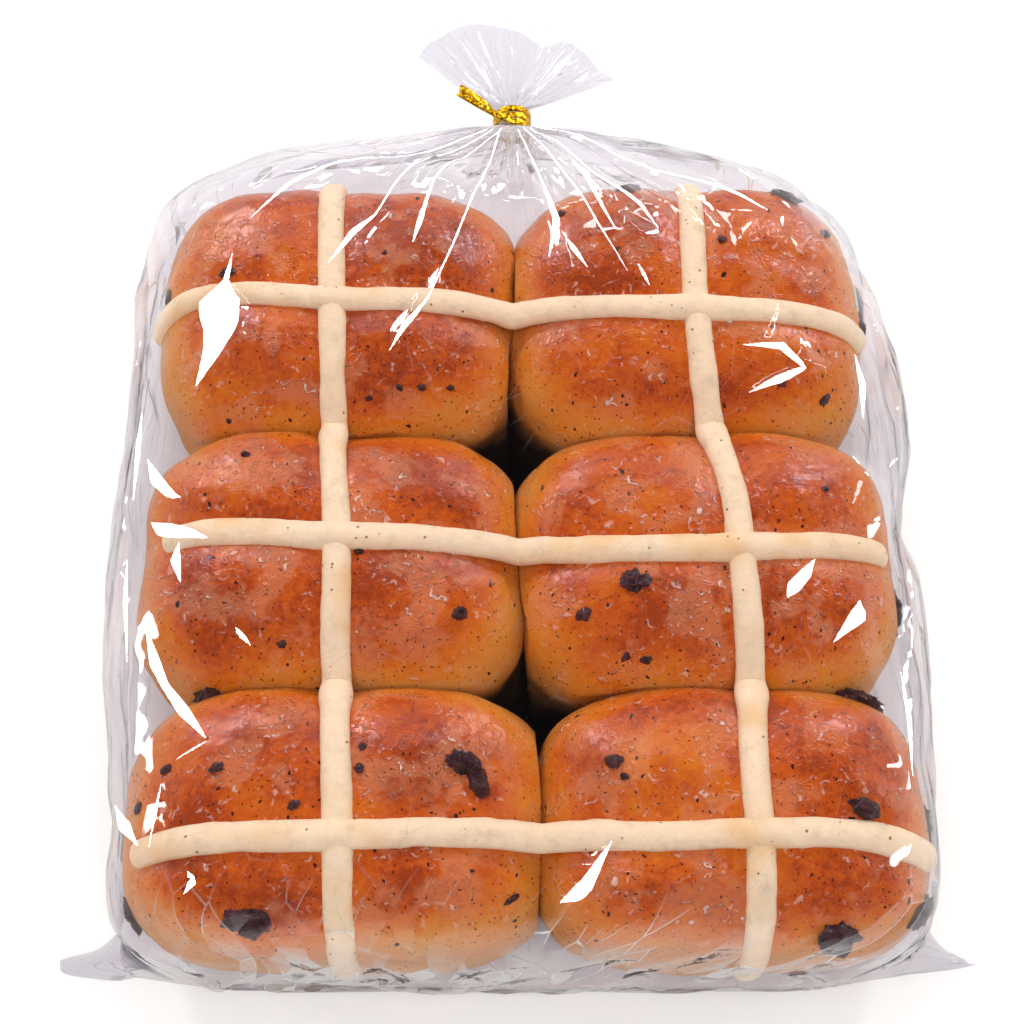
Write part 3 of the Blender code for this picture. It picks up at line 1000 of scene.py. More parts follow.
def make_film():
    """Clear polypropylene film: IOR 1.49, rough 0.04, tinted a faint cool grey, with facets and creases."""
    material, tree, output = blank_material("clear_polypropylene_film")
    sheet = add(tree, "ShaderNodeUVMap", uv_map="sheet").outputs["UV"]
    crumple = mark_of(tree, "crumple")
    drawn = mark_of(tree, "drawn")
    gather = mark_of(tree, "gather")
    pulls = add(tree, "ShaderNodeUVMap", uv_map="pulls").outputs["UV"]
    streak_tilt, streak_edge = facets(tree, pulls, 2.6, 30.0)
    slanted = add(tree, "ShaderNodeMapping", {"Vector": sheet, "Rotation": (0.0, 0.0, 0.6)}).outputs["Vector"]
    facet_tilt, facet_edge = facets(tree, slanted, 5.0, 14.0)
    tilt = add(
        tree, "ShaderNodeMix", {"Factor": drawn, 4: facet_tilt, 5: streak_tilt}, data_type="VECTOR"
    ).outputs[1]
    edge = add(tree, "ShaderNodeMix", {"Factor": drawn, 2: facet_edge, 3: streak_edge}).outputs[0]
    tilt = add(tree, "ShaderNodeVectorMath", {0: tilt, "Scale": crumple}, operation="SCALE").outputs["Vector"]
    surface = add(tree, "ShaderNodeNewGeometry")
    normal = add(
        tree, "ShaderNodeVectorMath", {0: surface.outputs["Normal"], 1: tilt}, operation="ADD"
    ).outputs["Vector"]
    normal = add(tree, "ShaderNodeVectorMath", {0: normal}, operation="NORMALIZE").outputs["Vector"]

    one_face = add(tree, "ShaderNodeFresnel", {"IOR": 1.49, "Normal": normal}).outputs["Fac"]
    twice = calc(tree, "MULTIPLY", one_face, 2.0)
    both = calc(tree, "ADD", one_face, 1.0)
    wall = calc(tree, "DIVIDE", twice, both)
    in_front = calc(tree, "SUBTRACT", 1.0, surface.outputs["Backfacing"])
    mirrored = calc(tree, "MULTIPLY", wall, in_front)
    clear = add(tree, "ShaderNodeBsdfTransparent", {"Color": srgb("#f9f8fa")})
    shine = add(
        tree,
        "ShaderNodeBsdfPrincipled",
        {"Base Color": srgb("#ffffff"), "Metallic": 1.0, "Roughness": 0.04, "Normal": normal},
    )
    film = add(tree, "ShaderNodeMixShader", {"Fac": mirrored, 1: clear.outputs[0], 2: shine.outputs[0]})

    # Painted highlight: a thin white line along some facet edges, for the sharp bends there.
    line = grey_ramp(tree, edge, 0.035, 0.005)
    edges_with_highlight = noise(tree, sheet, 60.0, 1.0)
    edges_with_highlight = grey_ramp(tree, edges_with_highlight, 0.5, 0.62)
    line = calc(tree, "MULTIPLY", line, edges_with_highlight)
    line = calc(tree, "MULTIPLY", line, crumple)
    line = calc(tree, "MULTIPLY", line, in_front)
    line = calc(tree, "MULTIPLY", line, 2.2, clamp=True)
    crease = add(
        tree,
        "ShaderNodeBsdfPrincipled",
        {"Base Color": srgb("#ffffff"), "Metallic": 0.6, "Roughness": 0.32, "Normal": normal},
    )
    film = add(tree, "ShaderNodeMixShader", {"Fac": line, 1: film.outputs[0], 2: crease.outputs[0]})

    dense = calc(tree, "MULTIPLY", gather, in_front)
    folded = add(
        tree, "ShaderNodeBsdfPrincipled", {"Base Color": srgb("#d6d4da"), "Roughness": 0.25, "Normal": normal}
    )
    film = add(tree, "ShaderNodeMixShader", {"Fac": dense, 1: film.outputs[0], 2: folded.outputs[0]})

    shade = add(tree, "ShaderNodeLightPath").outputs["Is Shadow Ray"]
    plain = add(tree, "ShaderNodeBsdfTransparent", {"Color": srgb("#f7f7f7")})
    whole = add(tree, "ShaderNodeMixShader", {"Fac": shade, 1: film.outputs[0], 2: plain.outputs[0]})
    tree.links.new(whole.outputs[0], output.inputs["Surface"])
    return material


clear_film = make_film()

# %% [markdown]
# A filled bag is a tube. Each cross-section is a superellipse cut off flat at the table, and along the bag
# it changes from the sealed end over the buns to the gathered neck and the loose fan past the tie. Sections
# stand close together where the film turns down over the front buns. At the table the sealed end keeps its
# full width, so its two corners stick out as flat ears.

# %% Outline of the filled bag

FILM_TOP = BAG_HIGH[2] - 0.3
FILM_REACH = 90.3
FILM_MIDDLE = 22.0
FRONT_ROUND_FROM = -58.0
FRONT_FACE = BAG_LOW[1] - 0.3
TOP_EDGE_FROM = -66.0  # where the film's top starts to turn down over the front
SEAL_BACK = 2.3  # how far the seal lies behind the bulge of the front
NECK_HEIGHT = 20.0
NECK_RADIUS = 3.9
NECK_START = TIE_LOW[1] - 0.4
NECK_END = 135.3
TENT_FROM, LIFT_FROM = 88.0, 103.0
SHOULDER_END = 125.6
COLUMNS = 372

# How far out the corners of the seal reach at each place along the bag.
left_ear = smooth_route(
    [(-89, 58), (-87.7, 72), (-86.2, 82), (-84.4, 96), (-82.4, 101.0), (-79, 93.0), (-74, 88.6), (-60, 88.5)]
)
right_ear = smooth_route(
    [(-89, 62), (-87.7, 72), (-86.2, 82), (-84.4, 98), (-82.4, 104.0), (-78, 96.5), (-72, 93), (-60, 91.2)]
)

# The fan's length in millimetres at each heading in degrees, from straight back.
fan_rim = smooth_route(
    [(-58, 29.0), (-48, 30.0), (-39, 29.6), (-22, 29.2), (-8, 26.6), (5, 25.0)]
    + [(19, 22.6), (24, 22.6), (31, 25.6), (45, 26.4), (62, 26.4), (73, 28.4)]
)


def rounded(distance, reach, power):
    """A superellipse quarter: 1 at distance 0, falling to 0 at reach."""
    share = np.clip(distance / reach, 0.0, 1.0)
    return (1.0 - share**power) ** (1.0 / power)


def film_stations():
    """Places of the sections along the bag, and the height of the film's top there.

    The front is a superellipse quarter seen from the side, walked in even steps of its length.
    """
    lean = np.linspace(0.004, 1.0, 3000) * math.pi / 2.0
    stretch = superellipse(lean, 6.5)
    face_y = TOP_EDGE_FROM - (TOP_EDGE_FROM - FRONT_FACE) * stretch * np.cos(lean)
    face_top = 0.9 + (FILM_TOP - 0.9) * stretch * np.sin(lean)
    length = np.concatenate([[0.0], np.cumsum(np.hypot(np.diff(face_y), np.diff(face_top)))])
    even = np.linspace(0.0, length[-1], 76)
    face_y, face_top = np.interp(even, length, face_y), np.interp(even, length, face_top)
    over_y = np.arange(TOP_EDGE_FROM + 1.15, TENT_FROM, 1.15)
    tent_y = SHOULDER_END - (SHOULDER_END - TENT_FROM) * np.linspace(1.0, 0.0, 62)[:-1] ** 1.4
    slope = ((tent_y - TENT_FROM) / (SHOULDER_END - TENT_FROM)) ** 1.3
    tent_top = FILM_TOP + (NECK_HEIGHT + NECK_RADIUS + 2.0 - FILM_TOP) * slope
    y = np.concatenate([face_y, over_y, tent_y])
    top = np.concatenate([face_top, np.full(len(over_y), FILM_TOP), tent_top])
    return y, top


def around_the_section():
    """Angles round a section, anticlockwise as seen from the neck, closer together at the sides than below.

    The first and the last meet in the middle of the underside.
    """
    turn = np.linspace(1.5 * math.pi, -0.5 * math.pi, 6001)
    power = np.where(np.sin(turn) > 0, 3.0, 7.0)
    stretch = superellipse(turn, power)
    x = FILM_REACH * stretch * np.cos(turn)
    z = np.where(np.sin(turn) > 0, FILM_TOP - FILM_MIDDLE, FILM_MIDDLE) * stretch * np.sin(turn)
    step = np.hypot(np.diff(x), np.diff(z))
    below = (z[1:] < -0.93 * FILM_MIDDLE) & (np.abs(x[1:]) < 80.0)
    weight = np.where(below, 0.3, np.where(np.abs(x[1:]) > 70.0, 1.45, 1.0))
    length = np.concatenate([[0.0], np.cumsum(step * weight)])
    return np.interp(np.linspace(0.0, length[-1], COLUMNS, endpoint=False), length, turn)


station_y, station_top = film_stations()
section_turn = around_the_section()


def film_sections():
    """The smooth bag as a grid of points, from the sealed end to the shoulders: (stations, turns, 3)."""
    y = station_y[:, None]
    c, s = np.cos(section_turn)[None, :], np.sin(section_turn)[None, :]
    place = np.stack(np.broadcast_arrays(FILM_REACH * c, y, 0.0 * y), axis=-1)
    early = 5.0 * lumps(place, 30.0, 170) * ramp(y, 60.0, 80.0) * ramp(y, SHOULDER_END, 110.0)
    top = np.interp(y + early, station_y, station_top)
    plan_front = rounded(FRONT_ROUND_FROM - y, FRONT_ROUND_FROM - FRONT_FACE + 1.0, 4.2)
    plan_left = rounded(y - 45.0, SHOULDER_END - 45.0, 3.7)
    plan_right = rounded(y - 45.0, SHOULDER_END - 45.0, 2.1)
    left = (FILM_REACH - 6.5 * ramp(-y, -20.0, 75.0)) * plan_left
    right = (FILM_REACH - 2.0 * ramp(-y, -20.0, 75.0)) * plan_right
    reach = np.where(c > 0, right, left) * (0.3 + 0.7 * plan_front)
    growing = ramp(-y, 58.0, 80.0)
    middle = FILM_MIDDLE + (NECK_HEIGHT - FILM_MIDDLE) * ramp(y, TENT_FROM, SHOULDER_END)
    middle = np.minimum(middle, top * 0.45)
    lifted = (NECK_HEIGHT - NECK_RADIUS - 3.0) * ramp(y, LIFT_FROM, SHOULDER_END)
    rounder = ramp(y, 90.0, SHOULDER_END)
    power = np.where(s > 0, 3.7 - 1.5 * rounder, 7.0 + 28.0 * growing - 4.8 * rounder)
    stretch = superellipse(section_turn[None, :], power)
    z = middle + np.where(s > 0, top - middle, middle - lifted) * stretch * s
    ear = np.where(c > 0, right_ear(y), left_ear(y))
    pull = growing * np.exp(-z / (1.6 + 3.2 * growing))
    x = (reach + (ear - reach) * pull) * stretch * c
    seal = SEAL_BACK * ramp(-y, 79.0, 88.0) * np.clip(1.0 - z / 17.0, 0.0, 1.0) ** 1.6
    return np.stack([x, y + seal, z], axis=-1)


def neck_and_fan():
    """The gathered neck, then the fan of loose film: each point runs out along its own ray from the neck."""
    c, s = np.cos(section_turn)[None, :], np.sin(section_turn)[None, :]
    neck_y = np.linspace(NECK_START, NECK_END, 8)[:, None]
    neck = np.stack(
        np.broadcast_arrays(NECK_RADIUS * c, neck_y, NECK_HEIGHT + NECK_RADIUS * s), axis=-1
    )
    share = (np.linspace(0.0, 1.0, 53)[1:] ** 1.1)[:, None]
    heading = math.radians(7.5) + math.radians(65.0) * c
    along = share * fan_rim(np.degrees(heading))
    lift = math.radians(13.0)
    gape = 3.4 * s * share**0.8
    from_neck = 1.0 - share
    fan = np.stack(
        [
            NECK_RADIUS * c * from_neck + along * np.sin(heading),
            NECK_END + along * np.cos(heading) * math.cos(lift),
            NECK_HEIGHT + NECK_RADIUS * s * from_neck + along * np.cos(heading) * math.sin(lift) + gape,
        ],
        axis=-1,
    )
    return np.concatenate([neck, fan])


# %% [markdown]
# ### Creases
#
# Crumpled film bends along straight, sharp lines and stays flat between them. So its relief isn't smooth
# noise. It is a net of triangles over the flat sheet, each with straight edges, whose corners are lifted by
# chance: inside a triangle the lift is linear, and every edge is a crease. Two nets, one coarse and one
# fine, add up. A net that is stretched along the bag gives the long folds at the sides. Pleats that run to
# the neck are the same idea in one dimension: a chain of straight pieces over the angle round the neck.
#
# Some folds are too plain to leave to chance. For those, a net is laid over listed points.

# %% Creased relief


def triangle_lift(corner_x, corner_y, lift, x, y):
    """Lift inside one triangle at x and y, and where they are inside it: the plane through its corners."""
    dx, dy = x - corner_x[0], y - corner_y[0]
    edge_x, edge_y = corner_x[1:] - corner_x[0], corner_y[1:] - corner_y[0]
    area = edge_x[0] * edge_y[1] - edge_x[1] * edge_y[0]
    second = (dx * edge_y[1] - dy * edge_x[1]) / area
    third = (dy * edge_x[0] - dx * edge_y[0]) / area
    inside = (second >= 0) & (third >= 0) & (second + third <= 1)
    return lift[0] + second * (lift[1] - lift[0]) + third * (lift[2] - lift[0]), inside


def net_of(corner_x, corner_y):
    """The triangles of a Delaunay net over these corners, as index triples."""
    flat = [Vector(pair) for pair in zip(corner_x.tolist(), corner_y.tolist())]
    return np.array(geometry.delaunay_2d_cdt(flat, [], [], 0, 1e-6)[2])


def crease_net(across, along, spacing, seed, stretch=1.0):
    """Relief from -1 to 1 that is linear in each triangle of a random net over the flat sheet.

    across and along are the sheet's coordinates of the columns and the rows. The corners lie on a jittered
    grid, spaced stretch times further along the sheet than across it.
    """
    steps = (spacing, spacing * stretch)
    low = (across[0] - 2 * steps[0], along[0] - 2 * steps[1])
    counts = [int((line[-1] - start) / step) + 4 for line, start, step in zip((across, along), low, steps)]
    i, j = (index.ravel() for index in np.meshgrid(np.arange(counts[0]), np.arange(counts[1])))
    corner_x = low[0] + (i + 0.42 * dice(seed, i, j)) * steps[0]
    corner_y = low[1] + (j + 0.42 * dice(seed + 1, i, j)) * steps[1]
    lift = dice(seed + 2, i, j)
    relief = np.zeros((len(along), len(across)))
    for triangle in net_of(corner_x, corner_y / stretch):
        tx, ty = corner_x[triangle], corner_y[triangle]
        columns = slice(*np.searchsorted(across, (tx.min(), tx.max())))
        rows = slice(*np.searchsorted(along, (ty.min(), ty.max())))
        value, inside = triangle_lift(tx, ty, lift[triangle], across[None, columns], along[rows, None])
        relief[rows, columns] = np.where(inside, value, relief[rows, columns])
    return relief


def pleat_fan(angle, distance, count, reach, seed):
    """Relief from -1 to 1 of pleats that run out from the neck: straight pieces over the angle round it.

    angle goes from 0 to 1. Each crease between two pieces fades out by its own share of the reach.
    """
    k = np.arange(-1, count + 2)
    at = (k + 0.38 * dice(seed, k)) / count
    lift = np.where(k % 2 == 0, 1.0, -1.0) * (0.6 + 0.4 * dice(seed + 1, k))
    ends = reach * (0.65 + 0.35 * dice(seed + 2, k))
    i = np.clip(np.searchsorted(at, angle) - 1, 0, len(k) - 2)
    share = (angle - at[i]) / (at[i + 1] - at[i])
    low = lift[i] * ramp(distance, ends[i], 0.45 * ends[i])
    high = lift[i + 1] * ramp(distance, ends[i + 1], 0.45 * ends[i + 1])
    return low + share * (high - low)


def pleat_ring(share, count, seed):
    """Relief from -1 to 1 round the bag with this many sharp pleats, uneven in place and depth."""
    k = np.arange(count)
    at = (k + 0.35 * dice(seed, k)) / count
    lift = np.where(k % 2 == 0, 1.0, -1.0) * (0.65 + 0.35 * dice(seed + 1, k))
    at = np.concatenate([at[-1:] - 1.0, at, at[:1] + 1.0])
    lift = np.concatenate([lift[-1:], lift, lift[:1]])
    return np.interp(share, at, lift)


def outward_normals(points):
    """Unit normals of a grid that runs all the way round, from its neighbours' positions."""
    round_way = np.roll(points, -1, axis=1) - np.roll(points, 1, axis=1)
    long_way = np.gradient(points, axis=0)
    normal = np.cross(round_way, long_way)
    return normal / np.maximum(np.linalg.norm(normal, axis=-1, keepdims=True), 1e-9)


def sheet_coordinates(points):
    """Lengths in millimetres across the sheet, from the first column, and along it, over the crown."""
    middle = points[len(points) // 2]
    around = np.linalg.norm(np.diff(middle, axis=0, append=middle[:1]), axis=-1)
    crown = points[:, np.argmax(middle[:, 2])]
    onward = np.linalg.norm(np.diff(crown, axis=0), axis=-1)
    return np.concatenate([[0.0], np.cumsum(around)[:-1]]), np.concatenate([[0.0], np.cumsum(onward)])


# %% [markdown]
# A listed fold is a crest with a gentle slope on one side and a steep one on the other. Each entry
# gives the crest's points in plan with their heights, and how far the foot of each slope lies from it. The
# gentle slope turns the film towards one of the soft boxes, so it shows as a bright patch with sharp sides.

# %% Listed folds

# Each fold: crest points (x, y, height), foot of the gentle slope (dx, dy), foot of the steep slope (dx, dy).
FOLDS = [
    (
        [
            (-67.5, 66.0, 0.0), (-61.5, 56.0, 2.0), (-61.0, 49.0, 2.4), (-65.0, 41.0, 1.4),
            (-69.8, 32.0, 0.0),
        ],
        (-9.0, -1.0),
        (2.2, 0.4),
    ),
    (
        [
            (-3.0, 110.0, 0.0), (-10.0, 84.0, 1.0), (-16.4, 60.0, 1.2), (-24.0, 47.5, 1.6),
            (-28.0, 42.0, 0.0),
        ],
        (-4.0, 1.0),
        (1.6, -0.5),
    ),
    (
        [(-14.0, 104.0, 0.0), (-27.5, 80.0, 1.4), (-36.0, 66.0, 0.9), (-41.0, 58.5, 0.0)],
        (-4.4, 2.0),
        (1.5, -1.0),
    ),
    (
        [(50.0, 46.0, 0.0), (58.0, 46.5, 1.2), (65.5, 40.5, 2.2), (58.0, 36.0, 1.4), (50.0, 32.5, 0.0)],
        (7.0, 1.5),
        (-2.4, 1.0),
    ),
    (
        [(20.0, -66.5, 0.0), (16.0, -73.0, 1.7), (12.5, -78.0, 1.5), (9.0, -81.0, 0.0)],
        (-5.0, 0.4),
        (1.8, 0.2),
    ),
    ([(30.0, 100.0, 0.0), (42.0, 86.0, 1.6), (48.0, 76.0, 0.0)], (5.0, 2.5), (-1.6, -1.0)),
    (
        [(13.0, 106.0, 0.0), (18.0, 92.0, 1.5), (30.0, 74.0, 1.2), (33.0, 70.0, 0.0)],
        (4.6, 2.0),
        (-1.6, -1.0),
    ),
    (
        [(75.0, -10.0, 0.0), (70.0, -24.0, 1.4), (74.0, -38.0, 1.2), (79.0, -50.0, 0.0)],
        (6.0, 0.5),
        (-2.0, 0.0),
    ),
    ([(84.0, 26.0, 0.0), (77.0, 14.0, 1.6), (80.0, -2.0, 0.0)], (6.0, 0.0), (-2.0, 0.4)),
]


def listed_folds(x, y):
    """Relief of the folds above: a net over crests, feet and a sparse grid of flat points around them."""
    corners = []
    for crest, gentle, steep in FOLDS:
        for cx, cy, height in crest:
            corners.append((cx, cy, height))
            if height > 0.0:
                corners.append((cx + gentle[0], cy + gentle[1], 0.0))
                corners.append((cx + steep[0], cy + steep[1], 0.0))
    corners = np.array(corners)
    i, j = (index.ravel() for index in np.meshgrid(np.arange(-8, 9), np.arange(-9, 12)))
    flat_x, flat_y = 12.0 * (i + 0.3 * dice(150, i, j)), 12.0 * (j + 0.3 * dice(151, i, j))
    gap = np.hypot(flat_x[:, None] - corners[None, :, 0], flat_y[:, None] - corners[None, :, 1]).min(axis=1)
    free = gap > 6.5
    corner_x = np.concatenate([corners[:, 0], flat_x[free]])
    corner_y = np.concatenate([corners[:, 1], flat_y[free]])
    lift = np.concatenate([corners[:, 2], np.zeros(free.sum())])
    relief = np.zeros_like(x)
    for triangle in net_of(corner_x, corner_y):
        if lift[triangle].max() > 0.0:
            value, inside = triangle_lift(corner_x[triangle], corner_y[triangle], lift[triangle], x, y)
            relief = np.where(inside, value, relief)
    return relief


def creased_film():
    """The whole bag with its creases, kept just off the buns and the crosses.

    A point that would lie inside a bun is moved straight out from the bun's middle to 5% past its outline
    at that height, and a point over the slab is lifted clear of it.
    """
    body = film_sections()
    body_rows = len(body)
    points = np.concatenate([body, neck_and_fan()])
    across, along = sheet_coordinates(points)
    x, y, z = np.moveaxis(points, -1, 0)
    upper = np.sin(section_turn)[None, :] > 0.0
    row = np.arange(len(points))[:, None]
    fan = row >= body_rows + 8
    neck = (row >= body_rows) & ~fan
    underside = ~upper & (np.abs(x) < 84.0) & (y < 100.0)
    side = ramp(np.abs(x) / FILM_REACH, 0.84, 0.97) * (y < 104.0)
    tent = ramp(y, 70.0, 100.0)
    front = ramp(-y, 72.0, 85.0)
    taut = 0.3 + 0.7 * np.maximum(np.maximum(side, tent), front)

    coarse = crease_net(across, along, 24.0, 100)
    fine = crease_net(across, along, 9.0, 110)
    tiny = crease_net(across, along, 4.0, 116)
    streaks = crease_net(across, along, 7.0, 120, stretch=7.0)
    relief = taut * ((1.4 + 1.4 * np.maximum(side, tent)) * coarse + 0.6 * fine + 0.16 * tiny)
    relief = relief + 1.5 * side * streaks

    out = np.hypot(x, NECK_START - y)
    angle = np.arctan2(x, NECK_START - y) / math.pi + 0.5
    angle = angle + 0.012 * lumps(points, 20.0, 128) * ramp(out, 5.0, 40.0)
    pleats = 1.2 * pleat_fan(angle, out, 22, 110.0, 130) + 0.8 * pleat_fan(angle, out, 46, 70.0, 134)
    pleats = pleats + 0.4 * pleat_fan(angle, out, 90, 40.0, 138)
    gathered = np.minimum(out * 0.05, 1.1) * (upper & ~fan & ~neck)
    relief = relief * ramp(out, 12.0, 40.0) + pleats * gathered
    relief = relief + listed_folds(x, y) * (upper & ~fan & ~neck & (z > 30.0))

    share = np.linspace(0.0, 1.0, COLUMNS, endpoint=False)[None, :]
    fan_pleats = 1.0 * pleat_ring(share, 22, 140) + 0.4 * pleat_ring(share, 60, 144)
    fan_share = np.clip((row - body_rows - 8) / 52.0, 0.0, 1.0)
    filled = 1.25 * (np.clip(fan_pleats, -1.0, 1.0) - 1.0) * ramp(fan_share, 0.25, 0.0)
    swing = 0.2 + 0.9 * np.sin(math.pi * np.minimum(fan_share, 0.86) ** 0.8)
    fan_relief = filled + fan_pleats * swing + 0.6 * fan_share * coarse
    relief = np.where(fan, fan_relief, relief)
    relief = np.where(neck, 1.25 * np.clip(fan_pleats, -1.0, 1.0) - 1.25, relief)
    relief = np.where(underside, 0.0, relief)
    creased = points + outward_normals(points) * relief[..., None]
    creased[..., 2] = np.maximum(creased[..., 2], 0.12 + 0.1 * upper)

    height = creased[..., 2]
    climb = np.where(height > WAIST, (height - WAIST) / (CROWN - WAIST), (WAIST - height) / WAIST)
    climb = np.clip(climb, 0.0, 0.996)
    power = np.where(height > WAIST, DOME_POWER, BASE_POWER)
    outline = (1.0 - climb**power) ** (1.0 / power) + 0.05
    for bun in buns:
        share_out = from_middle(bun, creased[..., 0], creased[..., 1])
        grow = np.where((share_out > 0.6) & (height > 1.0), np.maximum(outline / share_out, 1.0), 1.0)
        x_mid, y_mid = bun_middle(bun)
        creased[..., 0] = x_mid + (creased[..., 0] - x_mid) * grow
        creased[..., 1] = y_mid + (creased[..., 1] - y_mid) * grow

    over_buns = upper & (z > WAIST) & (y < 104.0)
    lowest = slab(creased[..., 0], creased[..., 1]) + 0.6
    creased[..., 2] = np.where(over_buns, np.maximum(creased[..., 2], lowest), creased[..., 2])

    crumple = np.where(fan | neck, 0.2, 0.03 + 0.24 * np.maximum(np.maximum(side, tent), front))
    tented = ramp(y, 78.0, 90.0)
    drawn = np.where(fan | neck, 1.0, np.maximum(side * ramp(-y, 80.0, 60.0) * ramp(y, 72.0, 62.0), tented))
    streaked = 0.6 + 0.4 * np.clip(fan_pleats, -1.0, 1.0)
    gather = np.where(fan, 0.14 + 0.5 * ramp(fan_share, 0.3, 0.0), 0.85 * ramp(out, 15.0, 2.0))
    gather = np.where(neck, 0.9, gather) * streaked
    marks = {"crumple": crumple, "drawn": drawn, "gather": gather}
    flat = np.stack(np.broadcast_arrays(across[None, :], along[:, None]), axis=-1)
    rays = np.stack([60.0 * np.arctan2(x, NECK_START - y), out], axis=-1)
    from_tie = np.hypot(x, y - NECK_END)
    back_rays = np.stack([25.0 * np.arctan2(x, y - NECK_END) + 200.0 * upper, from_tie], axis=-1)
    pulls = np.where((y > 75.0)[..., None], rays, flat)
    pulls = np.where((fan | neck)[..., None], back_rays, pulls)
    print("creases stand up to", round(float(np.abs(relief).max()), 1), "mm")
    maps = {"sheet": flat, "pulls": pulls}
    return creased, maps, {name: np.broadcast_to(mark, x.shape) for name, mark in marks.items()}


# %% Film walls

FILM_THICKNESS = 0.05


def film_wall(name, rows_here, sealed):
    """A closed wall: the grid, the same grid a film's thickness further in, and rims or poles at its ends.

    The map named sheet holds each corner's place on the flat film, in metres. In the one named pulls, the
    second number runs the way the film is drawn: along the sides, and out from the tie near it.
    """
    points, normals = film_points[rows_here], film_normals[rows_here]
    rows, columns = points.shape[:2]
    count = rows * columns
    inner = points - normals * FILM_THICKNESS
    outer_faces = grid_faces(rows, columns)
    around = np.arange(columns)
    beside = np.roll(around, -1)
    last = count - columns
    faces = outer_faces.tolist() + (outer_faces[:, ::-1] + count).tolist()
    rim = [last + around, last + beside, last + beside + count, last + around + count]
    faces += np.stack(rim, axis=1).tolist()
    every = np.concatenate([points.reshape(-1, 3), inner.reshape(-1, 3)])
    if sealed:
        middle = points[0].mean(axis=0)
        every = np.concatenate([every, [middle, middle + (0.0, FILM_THICKNESS, 0.0)]])
        pole = np.full(columns, 2 * count)
        faces += np.stack([beside, around, pole], axis=1).tolist()
        faces += np.stack([around + count, beside + count, pole + 1], axis=1).tolist()
    else:
        faces += np.stack([beside, around, around + count, beside + count], axis=1).tolist()
    piece = mesh_piece(name, every, faces, clear_film)
    mesh = piece.data

    for layer_name, places in film_maps.items():
        place = places[rows_here]
        beside_place = np.concatenate([place[:, 1:], 2.0 * place[:, -1:] - place[:, -2:-1]], axis=1)
        quads = (place[:-1], beside_place[:-1], beside_place[1:], place[1:])
        flat = np.stack(quads, axis=2).reshape(-1, 4, 2)
        flat = np.concatenate([flat.reshape(-1, 2), flat[:, ::-1].reshape(-1, 2)]) * MM
        corners = np.zeros((len(mesh.loops), 2))
        corners[: len(flat)] = flat
        mesh.uv_layers.new(name=layer_name).data.foreach_set("uv", corners.ravel().astype(np.float32))
    for mark, values in film_marks.items():
        part = values[rows_here].ravel()
        layer = mesh.attributes.new(mark, "FLOAT", "POINT")
        ends = [part[0], part[0]] if sealed else []
        layer.data.foreach_set("value", np.concatenate([part, part, ends]).astype(np.float32))

    directions = np.concatenate([normals.reshape(-1, 3), -normals.reshape(-1, 3)])
    if sealed:
        directions = np.concatenate([directions, [(0.0, -1.0, 0.0), (0.0, 1.0, 0.0)]])
    mesh.normals_split_custom_set_from_vertices(directions.tolist())
    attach(piece, "root")
    print(name, "has", len(faces), "faces")
    return piece


film_points, film_maps, film_marks = creased_film()
film_normals = outward_normals(film_points)
cuts = [0, *(int(np.searchsorted(station_y, place)) for place in (-20.0, 74.0)), len(film_points) - 1]
film_names = ["film_over_front_buns", "film_over_back_buns", "film_neck_and_fan"]
film_pieces = [
    film_wall(name, slice(low, high + 1), low == 0)
    for name, low, high in zip(film_names, cuts[:-1], cuts[1:])
]

# %% [markdown]
# The brightest marks on a filled bag are small flat facets of pulled film that happen to stand at the angle
# which throws a lamp at whoever looks. They are long and pointed, because they lie between two creases that
# run together. Each one here is a strip with a width at every point of its middle line, laid just over the
# film. It could be left to the creased relief, but a grid can't hold such sharp ends.
#
# The strips keep the film's own material. Each one is turned halfway between a fixed viewing point in front
# and a back lamp, so it throws that lamp there, as the facets of a real bag do wherever one stands.

# %% Bright facets

